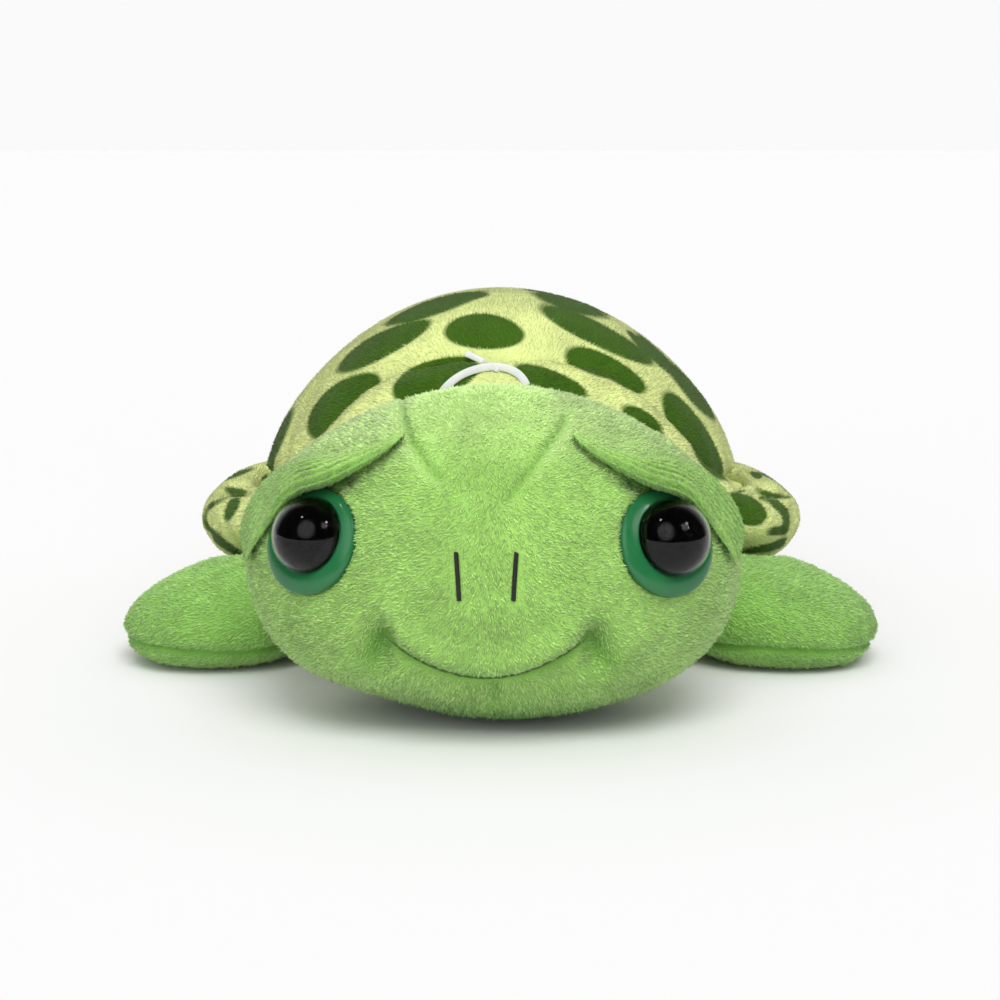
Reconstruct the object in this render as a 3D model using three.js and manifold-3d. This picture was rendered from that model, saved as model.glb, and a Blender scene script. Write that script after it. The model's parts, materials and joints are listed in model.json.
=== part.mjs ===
// Plush turtle: a stuffed toy about 22 cm long that lies on its belly. Millimetres, +Z up, the turtle faces -Y.
// Its left side is +X. The origin is under the middle of the whole toy, on the surface that it lies on.
// Each stuffed part is a fabric cover with a separate filling. Head, limbs and tail flex at their sewn seams.
import * as THREE from "three";
import { mergeVertices } from "three/addons/utils/BufferGeometryUtils.js";
import Module from "manifold-3d";

const wasm = await Module();
wasm.setup();

const HALF_TURN = Math.PI;
const QUARTER_TURN = HALF_TURN / 2;
const FULL_TURN = 2 * HALF_TURN;
const radians = (degrees) => (degrees / 180) * HALF_TURN;

// Fabric, clearances and cutting
const FABRIC = 2; // pile and backing together
const LIMB_FABRIC = 1.6;
const GAP = 0.35; // between two pieces that lie against each other
const SLACK = 0.5; // between a cover and its filling, which is faceted more coarsely
const OVERRUN = 200; // how far a cutting block runs past what it cuts
const WELD = 1e-4; // points closer than this are one point

// Body under the shell: an oval dome above, a bowl with a flat foot below
const BODY_SIDE = 58.5;
const BODY_FRONT = 50;
const BODY_BACK = 66;
const DOME_TOP = 77.4;
const DOME_ROOT_Z = 20; // height of the dome's own widest ring
const BOWL_TOP_Z = 30; // where the bowl takes over from the dome
const DOME_SIDE_POWER = 1.88;
const DOME_FRONT_POWER = 4;
const BOWL_POWER = 1.7;
const FOOT_SHARE = 0.52; // flat foot, as a share of the body's plan

// Seam between the dome and the belly, raised at the front like a collar over the neck
const SEAM_Z = 34;
const SEAM_FRONT_Z = 63;
const COLLAR_START_SHARE = 0.2;

// Stuffed rim that is sewn round the shell along the seam
const RIM_REACH = 12.6; // how far it stands off the body
const RIM_TOP_RISE = 3; // how far it covers the seam
const RIM_HEIGHT = 22;
const RIM_FRONT_HEIGHT = 18;
const RIM_POWER = 2.4;

// Head: a wide rounded form with a blunt nose, turned a little on its neck
const HEAD_AHEAD = 42; // its middle, in front of the neck's
const HEAD_Y = -BODY_FRONT - HEAD_AHEAD;
const HEAD_Z = 33;
const HEAD_TURN_ANGLE = radians(-2);
const HEAD_SIDE = 49;
const HEAD_FRONT = 36;
const HEAD_BACK = 33;
const HEAD_UP = 32.8;
const HEAD_DOWN = 33.4; // the lowest part of the chin is pressed flat where the toy lies
const CROWN_POWER = 1.85;
const JAW_POWER = 2.3;
const NOSE_POWER = 2.3;
const NAPE_POWER = 2;

// Neck: a rounded stub of the head that is sewn into a socket of the body
const NECK_Y = -BODY_FRONT;
const NECK_Z = 36;
const NECK_RADIUS = 19;
const NECK_MOUTH_RADIUS = 10;
const NECK_REST_GAP = 0.5;

// Safety eyes: green base with a ribbed shank, black pupil, clear lens, slotted washer behind the fabric
const EYE_X = 34;
const EYE_Z = 39.5;
const EYE_OUTWARD_ANGLE = radians(34);
const EYE_UPWARD_ANGLE = radians(19);
const EYE_RADIUS = 10.1;
const EYE_RISE = 3.4; // how far the green base bulges
const EYE_EDGE = 1.2; // thickness of the base at its edge
const EYE_SINK = 3.2; // depth of the base's back below the face
const PUPIL_RADIUS = 6.7;
const PUPIL_RISE = 5.6;
const PUPIL_SEAT = 1.6; // height of the seat above the base's back
const LENS_WALL = 0.8;
const SHANK_RADIUS = 2.4;
const SHANK_LENGTH = 13;
const SHANK_RIB = 0.5;
const SHANK_RIB_PITCH = 2.2;
const SHANK_RIB_COUNT = 4;
const WASHER_RADIUS = 8;
const WASHER_THICK = 1.2;
const WASHER_DISH = 1.4; // its rim stands off the fabric like a shallow dish
const WASHER_SLOT_COUNT = 6;
const WASHER_SLOT_WIDTH = 1.3;
const WASHER_SLOT_SHARE = 0.45;

// Brow: the stitched tuck of head fabric that hoods each eye, placed by shares of the head's half sizes
const browAcrossShares = [0.33, 0.52, 0.69, 0.83, 0.92];
const browUpShares = [0.77, 0.71, 0.61, 0.43, 0.15];
const BROW_WIDTH = 5.4;
const BROW_RISE = 3.6;

// Face stitching
const NOSTRIL_X = 5.2;
const NOSTRIL_Z = 34.2;
const NOSTRIL_LENGTH = 9.2;
const NOSTRIL_LEAN = 0.5;
const NOSTRIL_RADIUS = 0.8;
const MOUTH_HALF_WIDTH = 19;
const MOUTH_CORNER_Z = 22;
const MOUTH_LOW_Z = 15;
const MOUTH_GROOVE = 1.6;
const MOUTH_THREAD = 0.6;

// Limbs. Each root is a rounded seam about a hinge line that stands just off the body's wall. The outline
// starts to round off at the taper share of the limb's length.
const ROOT_RADIUS = 3;
const FLIPPER_OUT = 22.9; // how far the tip reaches past the body's side
const FLIPPER_BACK = 11; // how far the tip lies behind the body's front
const FOOT_OUT = 5.5;
const TAIL_OUT = 29;
const FRONT_LIMB = {
  bearing: radians(-40),
  flapUp: radians(8),
  hingeZ: 12.5,
  bendZ: 10.5,
  tipX: BODY_SIDE + FLIPPER_OUT,
  tipY: FLIPPER_BACK - BODY_FRONT,
  tipZ: 6.4,
  rootWidth: 15,
  width: 21,
  thickness: 11.2,
  lean: 15,
  taperShare: 0.42,
};
const BACK_LIMB = {
  bearing: radians(47),
  flapUp: radians(8),
  hingeZ: 11,
  bendZ: 7,
  tipX: BODY_SIDE + FOOT_OUT,
  tipY: BODY_BACK,
  tipZ: 5.4,
  rootWidth: 11,
  width: 16,
  thickness: 8.5,
  lean: 12,
  taperShare: 0.42,
};
const TAIL = {
  bearing: QUARTER_TURN,
  flapUp: radians(15),
  hingeZ: 11,
  bendZ: 8,
  tipX: 0,
  tipY: BODY_BACK + TAIL_OUT,
  tipZ: 5.2,
  rootWidth: 9,
  width: 8.5,
  thickness: 5.6,
  lean: 12,
  taperShare: 0,
};
const LIMB_SECTION_POWER = 0.9;
const LIMB_OUTLINE_POWER = 2.3;
const LIMB_PROFILE_POWER = 1.9;
const SWELL_SHARE = 0.45; // where along its length a limb is thickest
const rootArcShares = [0.95, 0.6];
const flapShares = [0, 1];

// Clear nylon loop of the hang tag, pierced through the rim above the nape
const LOOP_FOOT_LEFT = -8.6;
const LOOP_FOOT_RIGHT = 5.2;
const LOOP_OUT_SHARE = 0.88; // how far out on the rim it stands
const LOOP_RISE = 4.4;
const LOOP_RADIUS = 0.7;
const LOOP_ROOT = 4;
const LOOP_TAIL_LENGTH = 5.5;
const LOOP_TAIL_RISE = 1.6;

// How many facets and rings each surface has
const facets = {
  body: 32, domeRings: 5, bowlRings: 6, rimArc: 7,
  head: 32, headRings: 13, headLining: 16, headLiningRings: 8, neck: 14, neckRings: 10,
  eye: 16, eyeArc: 4, shank: 8, washer: 12,
  limb: 14, limbRings: 8, limbLining: 10, limbLiningRings: 5,
  brow: 8, browRings: 9, thread: 5, nostril: 3, mouth: 8, loop: 6,
};

const colour = {
  pile: 0x7fb552,
  ground: 0xcdd98a,
  filling: 0xf2f2ee,
  iris: 0x2f8a5c,
  black: 0x0b0b0c,
  thread: 0x1c221c,
  clear: 0xe8ecee,
};
const fabricMaterial = (hex) => new THREE.MeshStandardMaterial({ color: hex, roughness: 0.95, metalness: 0 });
const plasticMaterial = (hex, roughness) => new THREE.MeshStandardMaterial({ color: hex, roughness, metalness: 0 });
const materials = {
  pile: () => fabricMaterial(colour.pile),
  ground: () => fabricMaterial(colour.ground),
  filling: () => fabricMaterial(colour.filling),
  thread: () => fabricMaterial(colour.thread),
  iris: () => plasticMaterial(colour.iris, 0.3),
  black: () => plasticMaterial(colour.black, 0.12),
  washer: () => plasticMaterial(colour.clear, 0.4),
  clear: () => plasticMaterial(colour.clear, 0.05),
};

// Small mathematics
const mix = (a, b, t) => a + (b - a) * t;
const clamp01 = (t) => Math.min(1, Math.max(0, t));
const ease = (t) => clamp01(t) ** 2 * (3 - 2 * clamp01(t));
const signedPower = (value, power) => Math.sign(value) * Math.abs(value) ** power;
// Height of a rounded arch of unit size at t from its middle; power 2 makes a circle
const arch = (t, power) => Math.max(0, 1 - Math.abs(t) ** power) ** (1 / power);
const point = (x, y, z) => new THREE.Vector3(x, y, z);
const steps = (count) => Array.from({ length: count + 1 }, (_, i) => i / count);
const turnsOf = (count) => Array.from({ length: count }, (_, i) => (i / count) * FULL_TURN);
const UP = point(0, 0, 1);

// Surfaces and solids

const axes = [0, 1, 2];

// Distance between two numbered points of a flat list of coordinates
const span = (places, a, b) => Math.hypot(...axes.map((k) => places[3 * a + k] - places[3 * b + k]));

// A closed surface through rings of points. A ring of one point is a pole; a wrapped stack joins its ends.
function skin(rings, wrapped = false) {
  const places = [];
  const first = rings.map((ring) => {
    const start = places.length / 3;
    ring.forEach((p) => places.push(p.x, p.y, p.z));
    return start;
  });
  const faces = [];
  const joins = wrapped ? rings.length : rings.length - 1;
  for (let i = 0; i < joins; i++) {
    const next = (i + 1) % rings.length;
    const count = Math.max(rings[i].length, rings[next].length);
    const low = (j) => first[i] + (rings[i].length === 1 ? 0 : j % count);
    const high = (j) => first[next] + (rings[next].length === 1 ? 0 : j % count);
    for (let j = 0; j < count; j++) {
      const corners = [low(j), low(j + 1), high(j + 1), high(j)];
      // each four-sided patch is split along its shorter diagonal
      if (span(places, corners[0], corners[2]) > span(places, corners[1], corners[3])) corners.push(corners.shift());
      const [a, b, c, d] = corners;
      if (a !== b && b !== c) faces.push(a, b, c);
      if (c !== d && d !== a) faces.push(a, c, d);
    }
  }
  const geometry = new THREE.BufferGeometry();
  geometry.setAttribute("position", new THREE.Float32BufferAttribute(places, 3));
  geometry.setIndex(faces);
  return geometry;
}

function toSolid(geometry) {
  const bare = geometry.clone();
  bare.deleteAttribute("normal");
  bare.deleteAttribute("uv");
  const merged = mergeVertices(bare, WELD);
  const vertProperties = merged.attributes.position.array;
  const triVerts = new Uint32Array(merged.index.array);
  const made = new wasm.Manifold(new wasm.Mesh({ numProp: 3, vertProperties, triVerts }));
  if (made.volume() >= 0) return made;
  triVerts.reverse();
  return new wasm.Manifold(new wasm.Mesh({ numProp: 3, vertProperties, triVerts }));
}

function toGeometry(solid) {
  const mesh = solid.getMesh();
  const geometry = new THREE.BufferGeometry();
  geometry.setAttribute("position", new THREE.BufferAttribute(mesh.vertProperties, mesh.numProp));
  geometry.setIndex(new THREE.BufferAttribute(mesh.triVerts, 1));
  return geometry;
}

const solidOfRings = (rings) => toSolid(skin(rings));
const ball = (radius, centre) =>
  toSolid(new THREE.SphereGeometry(radius, facets.neck, facets.neckRings).translate(centre.x, centre.y, centre.z));

// Everything above a height
function above(height) {
  const block = new THREE.BoxGeometry(2 * OVERRUN, 2 * OVERRUN, OVERRUN);
  return toSolid(block.translate(0, 0, OVERRUN / 2 + height));
}

// A turned form: its profile runs in (radius, height) along the given axis from a base point
function turned(profile, segments, base, axis) {
  const geometry = new THREE.LatheGeometry(profile.map(([r, h]) => new THREE.Vector2(r, h)), segments);
  geometry.applyQuaternion(new THREE.Quaternion().setFromUnitVectors(point(0, 1, 0), axis));
  return toSolid(geometry.translate(base.x, base.y, base.z));
}

// A round thread or strap along a line of points
function tube(centres, radius, sides) {
  const section = new THREE.Shape(
    turnsOf(sides).map((turn) => new THREE.Vector2(radius * Math.cos(turn), radius * Math.sin(turn))),
  );
  const route = { steps: centres.length - 1, extrudePath: new THREE.CatmullRomCurve3(centres), bevelEnabled: false };
  return toSolid(new THREE.ExtrudeGeometry(section, route));
}

// Body

const frontness = (bearing) => Math.max(0, -Math.sin(bearing));
const collar = (bearing) => ease((frontness(bearing) - COLLAR_START_SHARE) / (1 - COLLAR_START_SHARE));
const seamHeight = (bearing) => mix(SEAM_Z, SEAM_FRONT_Z, collar(bearing));

// Point of the body's surface at a bearing from its middle and a height, moved outwards by off
function bodyPoint(bearing, z, off) {
  const deep = Math.sin(bearing) < 0 ? BODY_FRONT : BODY_BACK;
  const rise = DOME_TOP + off - DOME_ROOT_Z;
  const power = mix(DOME_SIDE_POWER, DOME_FRONT_POWER, frontness(bearing) ** 3);
  const domeShare = (height) => arch(clamp01((height - DOME_ROOT_Z) / rise), power);
  let share = domeShare(z);
  if (z < BOWL_TOP_Z) {
    const climbed = clamp01((z + off) / (BOWL_TOP_Z + off));
    share = mix(FOOT_SHARE, domeShare(BOWL_TOP_Z), arch(1 - climbed, BOWL_POWER));
  }
  return point((BODY_SIDE + off) * share * Math.cos(bearing), (deep + off) * share * Math.sin(bearing), z);
}

// Rings of the dome from the seam up to the last one below the top
function domeRings(off, lift) {
  const rise = DOME_TOP + off - DOME_ROOT_Z;
  return steps(facets.domeRings).slice(0, -1).map((t) =>
    turnsOf(facets.body).map((bearing) => {
      const low = Math.asin(clamp01((seamHeight(bearing) + lift - DOME_ROOT_Z) / rise));
      return bodyPoint(bearing, DOME_ROOT_Z + rise * Math.sin(mix(low, QUARTER_TURN, t)), off);
    }));
}

// Rings of the bowl from the edge of the flat foot up to the seam
function bowlRings(off, drop) {
  return steps(facets.bowlRings).map((t) =>
    turnsOf(facets.body).map((bearing) => {
      const climb = t < 0.5 ? 1 - Math.cos(2 * t * QUARTER_TURN) : 2 * t;
      const knee = mix(-off, BOWL_TOP_Z / 2, Math.min(1, climb));
      const z = t < 0.5 ? knee : mix(knee, seamHeight(bearing) - drop, climb - 1);
      return bodyPoint(bearing, z, off);
    }));
}
const domeTop = (off) => [point(0, 0, DOME_TOP + off)];
const footMiddle = (off) => [point(0, 0, -off)];
const bodySkin = (off) =>
  skin([footMiddle(off), ...bowlRings(off, 0), ...domeRings(off, 0).slice(1), domeTop(off)]);

const neckCentre = point(0, NECK_Y, NECK_Z);
// The socket's flat facets, not only its corners, keep clear of the neck that turns in it
const facetDip = Math.cos(HALF_TURN / facets.neck) * Math.cos(HALF_TURN / (2 * facets.neckRings));
const neckSocket = ball((NECK_RADIUS + NECK_REST_GAP) / facetDip, neckCentre);

function shellDome() {
  const outside = domeRings(0, GAP / 2).reverse();
  const inside = domeRings(-FABRIC, GAP / 2);
  return solidOfRings([domeTop(0), ...outside, ...inside, domeTop(-FABRIC)]);
}

function bellyCover() {
  const outside = bowlRings(0, GAP / 2);
  const inside = bowlRings(-FABRIC, GAP / 2).reverse();
  return solidOfRings([footMiddle(0), ...outside, ...inside, footMiddle(-FABRIC)]).subtract(neckSocket);
}

const bodyFilling = () => toSolid(bodySkin(-FABRIC - GAP)).subtract(neckSocket);

// The rim's section is a half oval, whose flat side lies within the body's wall until it is cut away
function rimSkin(spare) {
  const rings = turnsOf(facets.body).map((bearing) => {
    const height = mix(RIM_HEIGHT, RIM_FRONT_HEIGHT, collar(bearing)) + 2 * spare;
    const top = seamHeight(bearing) + RIM_TOP_RISE + spare;
    const outer = steps(facets.rimArc).map((t) => {
      const up = -Math.cos(t * HALF_TURN);
      return bodyPoint(bearing, top + (height * (up - 1)) / 2, spare + RIM_REACH * arch(up, RIM_POWER));
    });
    const inner = [0, 1].map((t) => bodyPoint(bearing, top - height * t, -FABRIC / 2));
    return [...outer, ...inner];
  });
  return skin(rings, true);
}
const shellRim = () => toSolid(rimSkin(0)).subtract(toSolid(bodySkin(GAP))).subtract(neckSocket);

// Head

function headRings(off, around, count) {
  return steps(count).map((t) => {
    const reach = -Math.cos(t * HALF_TURN);
    const y = HEAD_Y + reach * ((reach < 0 ? HEAD_FRONT : HEAD_BACK) + off);
    if (t === 0 || t === 1) return [point(0, y, HEAD_Z)];
    const scale = arch(reach, reach < 0 ? NOSE_POWER : NAPE_POWER);
    return turnsOf(around).map((turn) => {
      const up = Math.sin(turn) > 0;
      const power = 2 / (up ? CROWN_POWER : JAW_POWER);
      const tall = (up ? HEAD_UP : HEAD_DOWN) + off;
      return point(
        (HEAD_SIDE + off) * scale * signedPower(Math.cos(turn), power),
        y,
        HEAD_Z + tall * scale * signedPower(Math.sin(turn), power),
      );
    });
  });
}
const headForm = (off) =>
  solidOfRings(headRings(off, facets.head, facets.headRings)).add(ball(NECK_RADIUS + off, neckCentre));
const headLining = (off) =>
  solidOfRings(headRings(off, facets.headLining, facets.headLiningRings)).add(ball(NECK_RADIUS + off, neckCentre));

// The face's surface in front of a point given by its side and its height
function facePoint(x, z) {
  const up = z > HEAD_Z;
  const power = up ? CROWN_POWER : JAW_POWER;
  const tall = up ? HEAD_UP : HEAD_DOWN;
  const scale = (Math.abs(x / HEAD_SIDE) ** power + Math.abs((z - HEAD_Z) / tall) ** power) ** (1 / power);
  return point(x, HEAD_Y - HEAD_FRONT * arch(scale, NOSE_POWER), z);
}
function faceNormal(x, z) {
  const nudge = HEAD_SIDE / 100;
  const acrossFace = facePoint(x + nudge, z).sub(facePoint(x - nudge, z));
  const upFace = facePoint(x, z + nudge).sub(facePoint(x, z - nudge));
  return acrossFace.cross(upFace).normalize();
}

// Eyes. A side is 1 for the turtle's left and -1 for its right.

const eyeAxis = (side) => point(
  side * Math.sin(EYE_OUTWARD_ANGLE) * Math.cos(EYE_UPWARD_ANGLE),
  -Math.cos(EYE_OUTWARD_ANGLE) * Math.cos(EYE_UPWARD_ANGLE),
  Math.sin(EYE_UPWARD_ANGLE),
);
// Middle of the base's flat back
const eyeSeat = (side) => facePoint(side * EYE_X, EYE_Z).addScaledVector(eyeAxis(side), -EYE_SINK);
const eyeTurned = (side, profile, segments) => turned(profile, segments, eyeSeat(side), eyeAxis(side));
const eyeCylinder = (side, radius, low, high) =>
  eyeTurned(side, [[0, low], [radius, low], [radius, high], [0, high]], facets.eye);

// Cap of a turned profile from its edge at (radius, low) to its top on the axis
const cap = (radius, low, rise) => steps(facets.eyeArc).map((t) =>
  [radius * Math.cos(t * QUARTER_TURN), low + rise * Math.sin(t * QUARTER_TURN)]);

const lensRadius = PUPIL_RADIUS + GAP + LENS_WALL;
const pupilFoot = PUPIL_SEAT + GAP;

function eyeShank(side) {
  const core = SHANK_RADIUS - SHANK_RIB;
  const profile = [[0, -SHANK_LENGTH], [core, -SHANK_LENGTH]];
  for (let i = 0; i < SHANK_RIB_COUNT; i++) {
    const low = -SHANK_LENGTH + (i + 0.5) * SHANK_RIB_PITCH;
    profile.push([core, low], [SHANK_RADIUS, low + SHANK_RIB_PITCH / 2], [core, low + SHANK_RIB_PITCH / 2]);
  }
  profile.push([core, EYE_EDGE / 2], [0, EYE_EDGE / 2]);
  return eyeTurned(side, profile, facets.shank);
}

function eyeBack(side) {
  const base = eyeTurned(side, [[0, 0], [EYE_RADIUS, 0], ...cap(EYE_RADIUS, EYE_EDGE, EYE_RISE)], facets.eye);
  return base.subtract(eyeCylinder(side, lensRadius + GAP, PUPIL_SEAT, OVERRUN)).add(eyeShank(side));
}

const eyePupil = (side) =>
  eyeTurned(side, [[0, pupilFoot], ...cap(PUPIL_RADIUS, pupilFoot, PUPIL_RISE)], facets.eye);

function eyeLens(side) {
  const inside = cap(PUPIL_RADIUS + GAP, pupilFoot, PUPIL_RISE + GAP).reverse();
  const outside = cap(lensRadius, pupilFoot, PUPIL_RISE + GAP + LENS_WALL);
  return eyeTurned(side, [...inside, ...outside], facets.eye);
}

// Height of the washer's face, behind the fabric that lines the socket
const washerFace = -FABRIC - 2 * GAP;
const washerBore = SHANK_RADIUS + GAP;
function eyeWasher(side) {
  const profile = [
    [washerBore, washerFace - WASHER_DISH - WASHER_THICK],
    [WASHER_RADIUS, washerFace - WASHER_THICK],
    [WASHER_RADIUS, washerFace],
    [washerBore, washerFace - WASHER_DISH],
  ];
  profile.push(profile[0]);
  const seat = eyeSeat(side);
  const stand = new THREE.Quaternion().setFromUnitVectors(point(0, 1, 0), eyeAxis(side));
  const slotLength = WASHER_RADIUS * WASHER_SLOT_SHARE;
  let washer = eyeTurned(side, profile, facets.washer);
  for (const turn of turnsOf(WASHER_SLOT_COUNT)) {
    const slot = new THREE.BoxGeometry(WASHER_SLOT_WIDTH, OVERRUN, slotLength);
    slot.translate(0, 0, washerBore - GAP + slotLength / 2);
    slot.rotateY(turn).applyQuaternion(stand).translate(seat.x, seat.y, seat.z);
    washer = washer.subtract(toSolid(slot));
  }
  return washer;
}

// What the eye takes up outside the fabric, with room round it
const eyeRoom = (side) => eyeCylinder(side, EYE_RADIUS + GAP, -GAP, EYE_EDGE)
  .add(eyeTurned(side, [[0, 0], ...cap(EYE_RADIUS + GAP, EYE_EDGE, EYE_RISE + GAP)], facets.eye))
  .add(eyeTurned(side, [[0, 0], ...cap(lensRadius + GAP, pupilFoot, PUPIL_RISE + LENS_WALL + 3 * GAP)], facets.eye));
const eyeSocket = (side) => eyeCylinder(side, EYE_RADIUS + GAP, -GAP, OVERRUN)
  .add(eyeCylinder(side, SHANK_RADIUS + GAP, -FABRIC - 2 * GAP, 0));

// Face stitching

function nostril(side, radius, spare) {
  const half = NOSTRIL_LENGTH / 2 + spare;
  const line = steps(facets.nostril).map((t) => {
    const up = mix(-half, half, t);
    return facePoint(side * NOSTRIL_X + (NOSTRIL_LEAN * up) / half, NOSTRIL_Z + up);
  });
  return tube(line.map((p) => p.addScaledVector(faceNormal(p.x, p.z), -NOSTRIL_RADIUS / 2)), radius, facets.thread);
}

// Line of the smile on the face, sunk by depth, with each end moved outwards by spare
function mouthLine(depth, spare) {
  return steps(facets.mouth).map((t) => {
    const x = mix(-MOUTH_HALF_WIDTH - spare, MOUTH_HALF_WIDTH + spare, t);
    const z = mix(MOUTH_LOW_Z, MOUTH_CORNER_Z, Math.min(1, Math.abs(x) / MOUTH_HALF_WIDTH) ** 2);
    return facePoint(x, z).addScaledVector(faceNormal(x, z), -depth);
  });
}
const mouthGroove = () => tube(mouthLine(0, GAP), MOUTH_GROOVE, facets.thread);
const mouthThread = () => tube(mouthLine(MOUTH_GROOVE - MOUTH_THREAD - GAP, -GAP), MOUTH_THREAD, facets.thread);

// Head pieces

function headCover() {
  const mouth = turned(
    [[0, 0], [NECK_MOUTH_RADIUS, 0], [NECK_MOUTH_RADIUS, OVERRUN], [0, OVERRUN]],
    facets.neck, neckCentre, point(0, 1, 0),
  );
  let cavity = headLining(-FABRIC).intersect(above(FABRIC)).add(mouth);
  let cover = headForm(0).intersect(above(0));
  for (const side of Object.values(sides)) {
    cavity = cavity.subtract(eyeCylinder(side, EYE_RADIUS + GAP + FABRIC, -GAP - FABRIC, OVERRUN));
    cover = cover.subtract(eyeSocket(side)).subtract(nostril(side, NOSTRIL_RADIUS + GAP, GAP));
  }
  for (const side of Object.values(sides)) {
    cavity = cavity.add(eyeCylinder(side, SHANK_RADIUS + GAP, -GAP - 2 * FABRIC, 0));
  }
  return cover.subtract(cavity).subtract(mouthGroove());
}

function headFilling() {
  let filling = headLining(-FABRIC - SLACK).intersect(above(FABRIC + GAP));
  for (const side of Object.values(sides)) {
    filling = filling
      .subtract(eyeCylinder(side, EYE_RADIUS + FABRIC + 2 * GAP, -FABRIC - 2 * GAP, OVERRUN))
      .subtract(eyeCylinder(side, WASHER_RADIUS + GAP, washerFace - WASHER_DISH - WASHER_THICK - GAP, 0))
      .subtract(eyeCylinder(side, SHANK_RADIUS + GAP, -SHANK_LENGTH - GAP, 0));
  }
  return filling;
}

function brow(side) {
  const path = new THREE.CatmullRomCurve3(browAcrossShares.map((share, i) =>
    facePoint(side * share * HEAD_SIDE, HEAD_Z + browUpShares[i] * HEAD_UP)));
  const rings = steps(facets.browRings).map((t) => {
    const centre = path.getPoint(t);
    if (t === 0 || t === 1) return [centre];
    const normal = faceNormal(centre.x, centre.z);
    const down = normal.clone().cross(path.getTangent(t)).normalize();
    const full = arch(2 * t - 1, 2);
    return turnsOf(facets.brow).map((turn) => centre.clone()
      .addScaledVector(down, BROW_WIDTH * full * Math.cos(turn))
      .addScaledVector(normal, BROW_RISE * full * Math.sin(turn)));
  });
  return solidOfRings(rings).subtract(headForm(GAP)).subtract(eyeRoom(side));
}

// Limbs

// Hinge line of a limb's root: a point on it, and the direction that leads away from the body
function hingeOf(limb, side) {
  const deep = Math.sin(limb.bearing) < 0 ? BODY_FRONT : BODY_BACK;
  const away = point(Math.cos(limb.bearing) / BODY_SIDE, Math.sin(limb.bearing) / deep, 0).normalize();
  const at = bodyPoint(limb.bearing, limb.hingeZ, 0).addScaledVector(away, ROOT_RADIUS + GAP);
  return { at: point(side * at.x, at.y, at.z), away: point(side * away.x, away.y, 0) };
}

function limbRings(limb, side, off, around, count) {
  const { at, away } = hingeOf(limb, side);
  const bend = at.clone().addScaledVector(away, limb.lean).setZ(limb.bendZ);
  const path = new THREE.QuadraticBezierCurve3(at, bend, point(side * limb.tipX, limb.tipY, limb.tipZ));
  const root = ROOT_RADIUS + off;
  const shorten = 1 + off / path.getLength();
  const ring = (middle, across, half, tall) => turnsOf(around).map((turn) => middle.clone()
    .addScaledVector(across, half * signedPower(Math.cos(turn), LIMB_SECTION_POWER))
    .addScaledVector(UP, tall * signedPower(Math.sin(turn), LIMB_SECTION_POWER)));
  const rootRings = rootArcShares.map((share) => {
    const middle = at.clone().addScaledVector(away, -root * share);
    return ring(middle, UP.clone().cross(away), limb.rootWidth + off, root * arch(share, 2));
  });
  const limbRing = (t) => {
    const u = Math.sin(t * QUARTER_TURN);
    const across = UP.clone().cross(path.getTangentAt(u).setZ(0).normalize());
    const half = mix(limb.rootWidth, limb.width, ease(u / SWELL_SHARE)) + off;
    const outline = arch(clamp01((u - limb.taperShare) / (1 - limb.taperShare)), LIMB_OUTLINE_POWER);
    const plump = mix(root, limb.thickness + off, arch(1 - Math.min(1, u / SWELL_SHARE), 2));
    const flatten = arch(clamp01((u - SWELL_SHARE / 2) / (1 - SWELL_SHARE / 2)), LIMB_PROFILE_POWER);
    return ring(path.getPointAt(u * shorten), across, half * outline, plump * flatten);
  };
  const butt = [at.clone().addScaledVector(away, -root)];
  return [butt, ...rootRings, ...steps(count).slice(0, -1).map(limbRing), [path.getPointAt(Math.min(1, shorten))]];
}
// The limb is pressed out of the way of the body and the rim, at rest and while it flaps up. Its inside keeps
// off them by the fabric's thickness too.
function limbForm(limb, side, off, around, count) {
  const { at, away } = hingeOf(limb, side);
  let form = solidOfRings(limbRings(limb, side, off, around, count));
  for (const share of flapShares) {
    const flap = new THREE.Matrix4().makeTranslation(at)
      .multiply(new THREE.Matrix4().makeRotationAxis(away.clone().cross(UP), -share * limb.flapUp))
      .multiply(new THREE.Matrix4().makeTranslation(at.clone().negate()));
    form = form.subtract(toSolid(bodySkin(GAP - off).applyMatrix4(flap)))
      .subtract(toSolid(rimSkin(GAP - off).applyMatrix4(flap)));
  }
  return form;
}
const limbInside = (limb, side, off) => limbForm(limb, side, off, facets.limbLining, facets.limbLiningRings);

// The cover is open at its root, where it is sewn to the body
function limbCover(limb, side) {
  const { at, away } = hingeOf(limb, side);
  const mouth = new THREE.BoxGeometry(4 * ROOT_RADIUS, limb.rootWidth, ROOT_RADIUS - LIMB_FABRIC);
  mouth.rotateZ(Math.atan2(away.y, away.x)).translate(at.x, at.y, at.z);
  return limbForm(limb, side, 0, facets.limb, facets.limbRings).intersect(above(0))
    .subtract(limbInside(limb, side, -LIMB_FABRIC).intersect(above(LIMB_FABRIC)))
    .subtract(toSolid(mouth));
}
const limbFilling = (limb, side) =>
  limbInside(limb, side, -LIMB_FABRIC - SLACK).intersect(above(LIMB_FABRIC + GAP));

// Hang-tag loop

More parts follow.
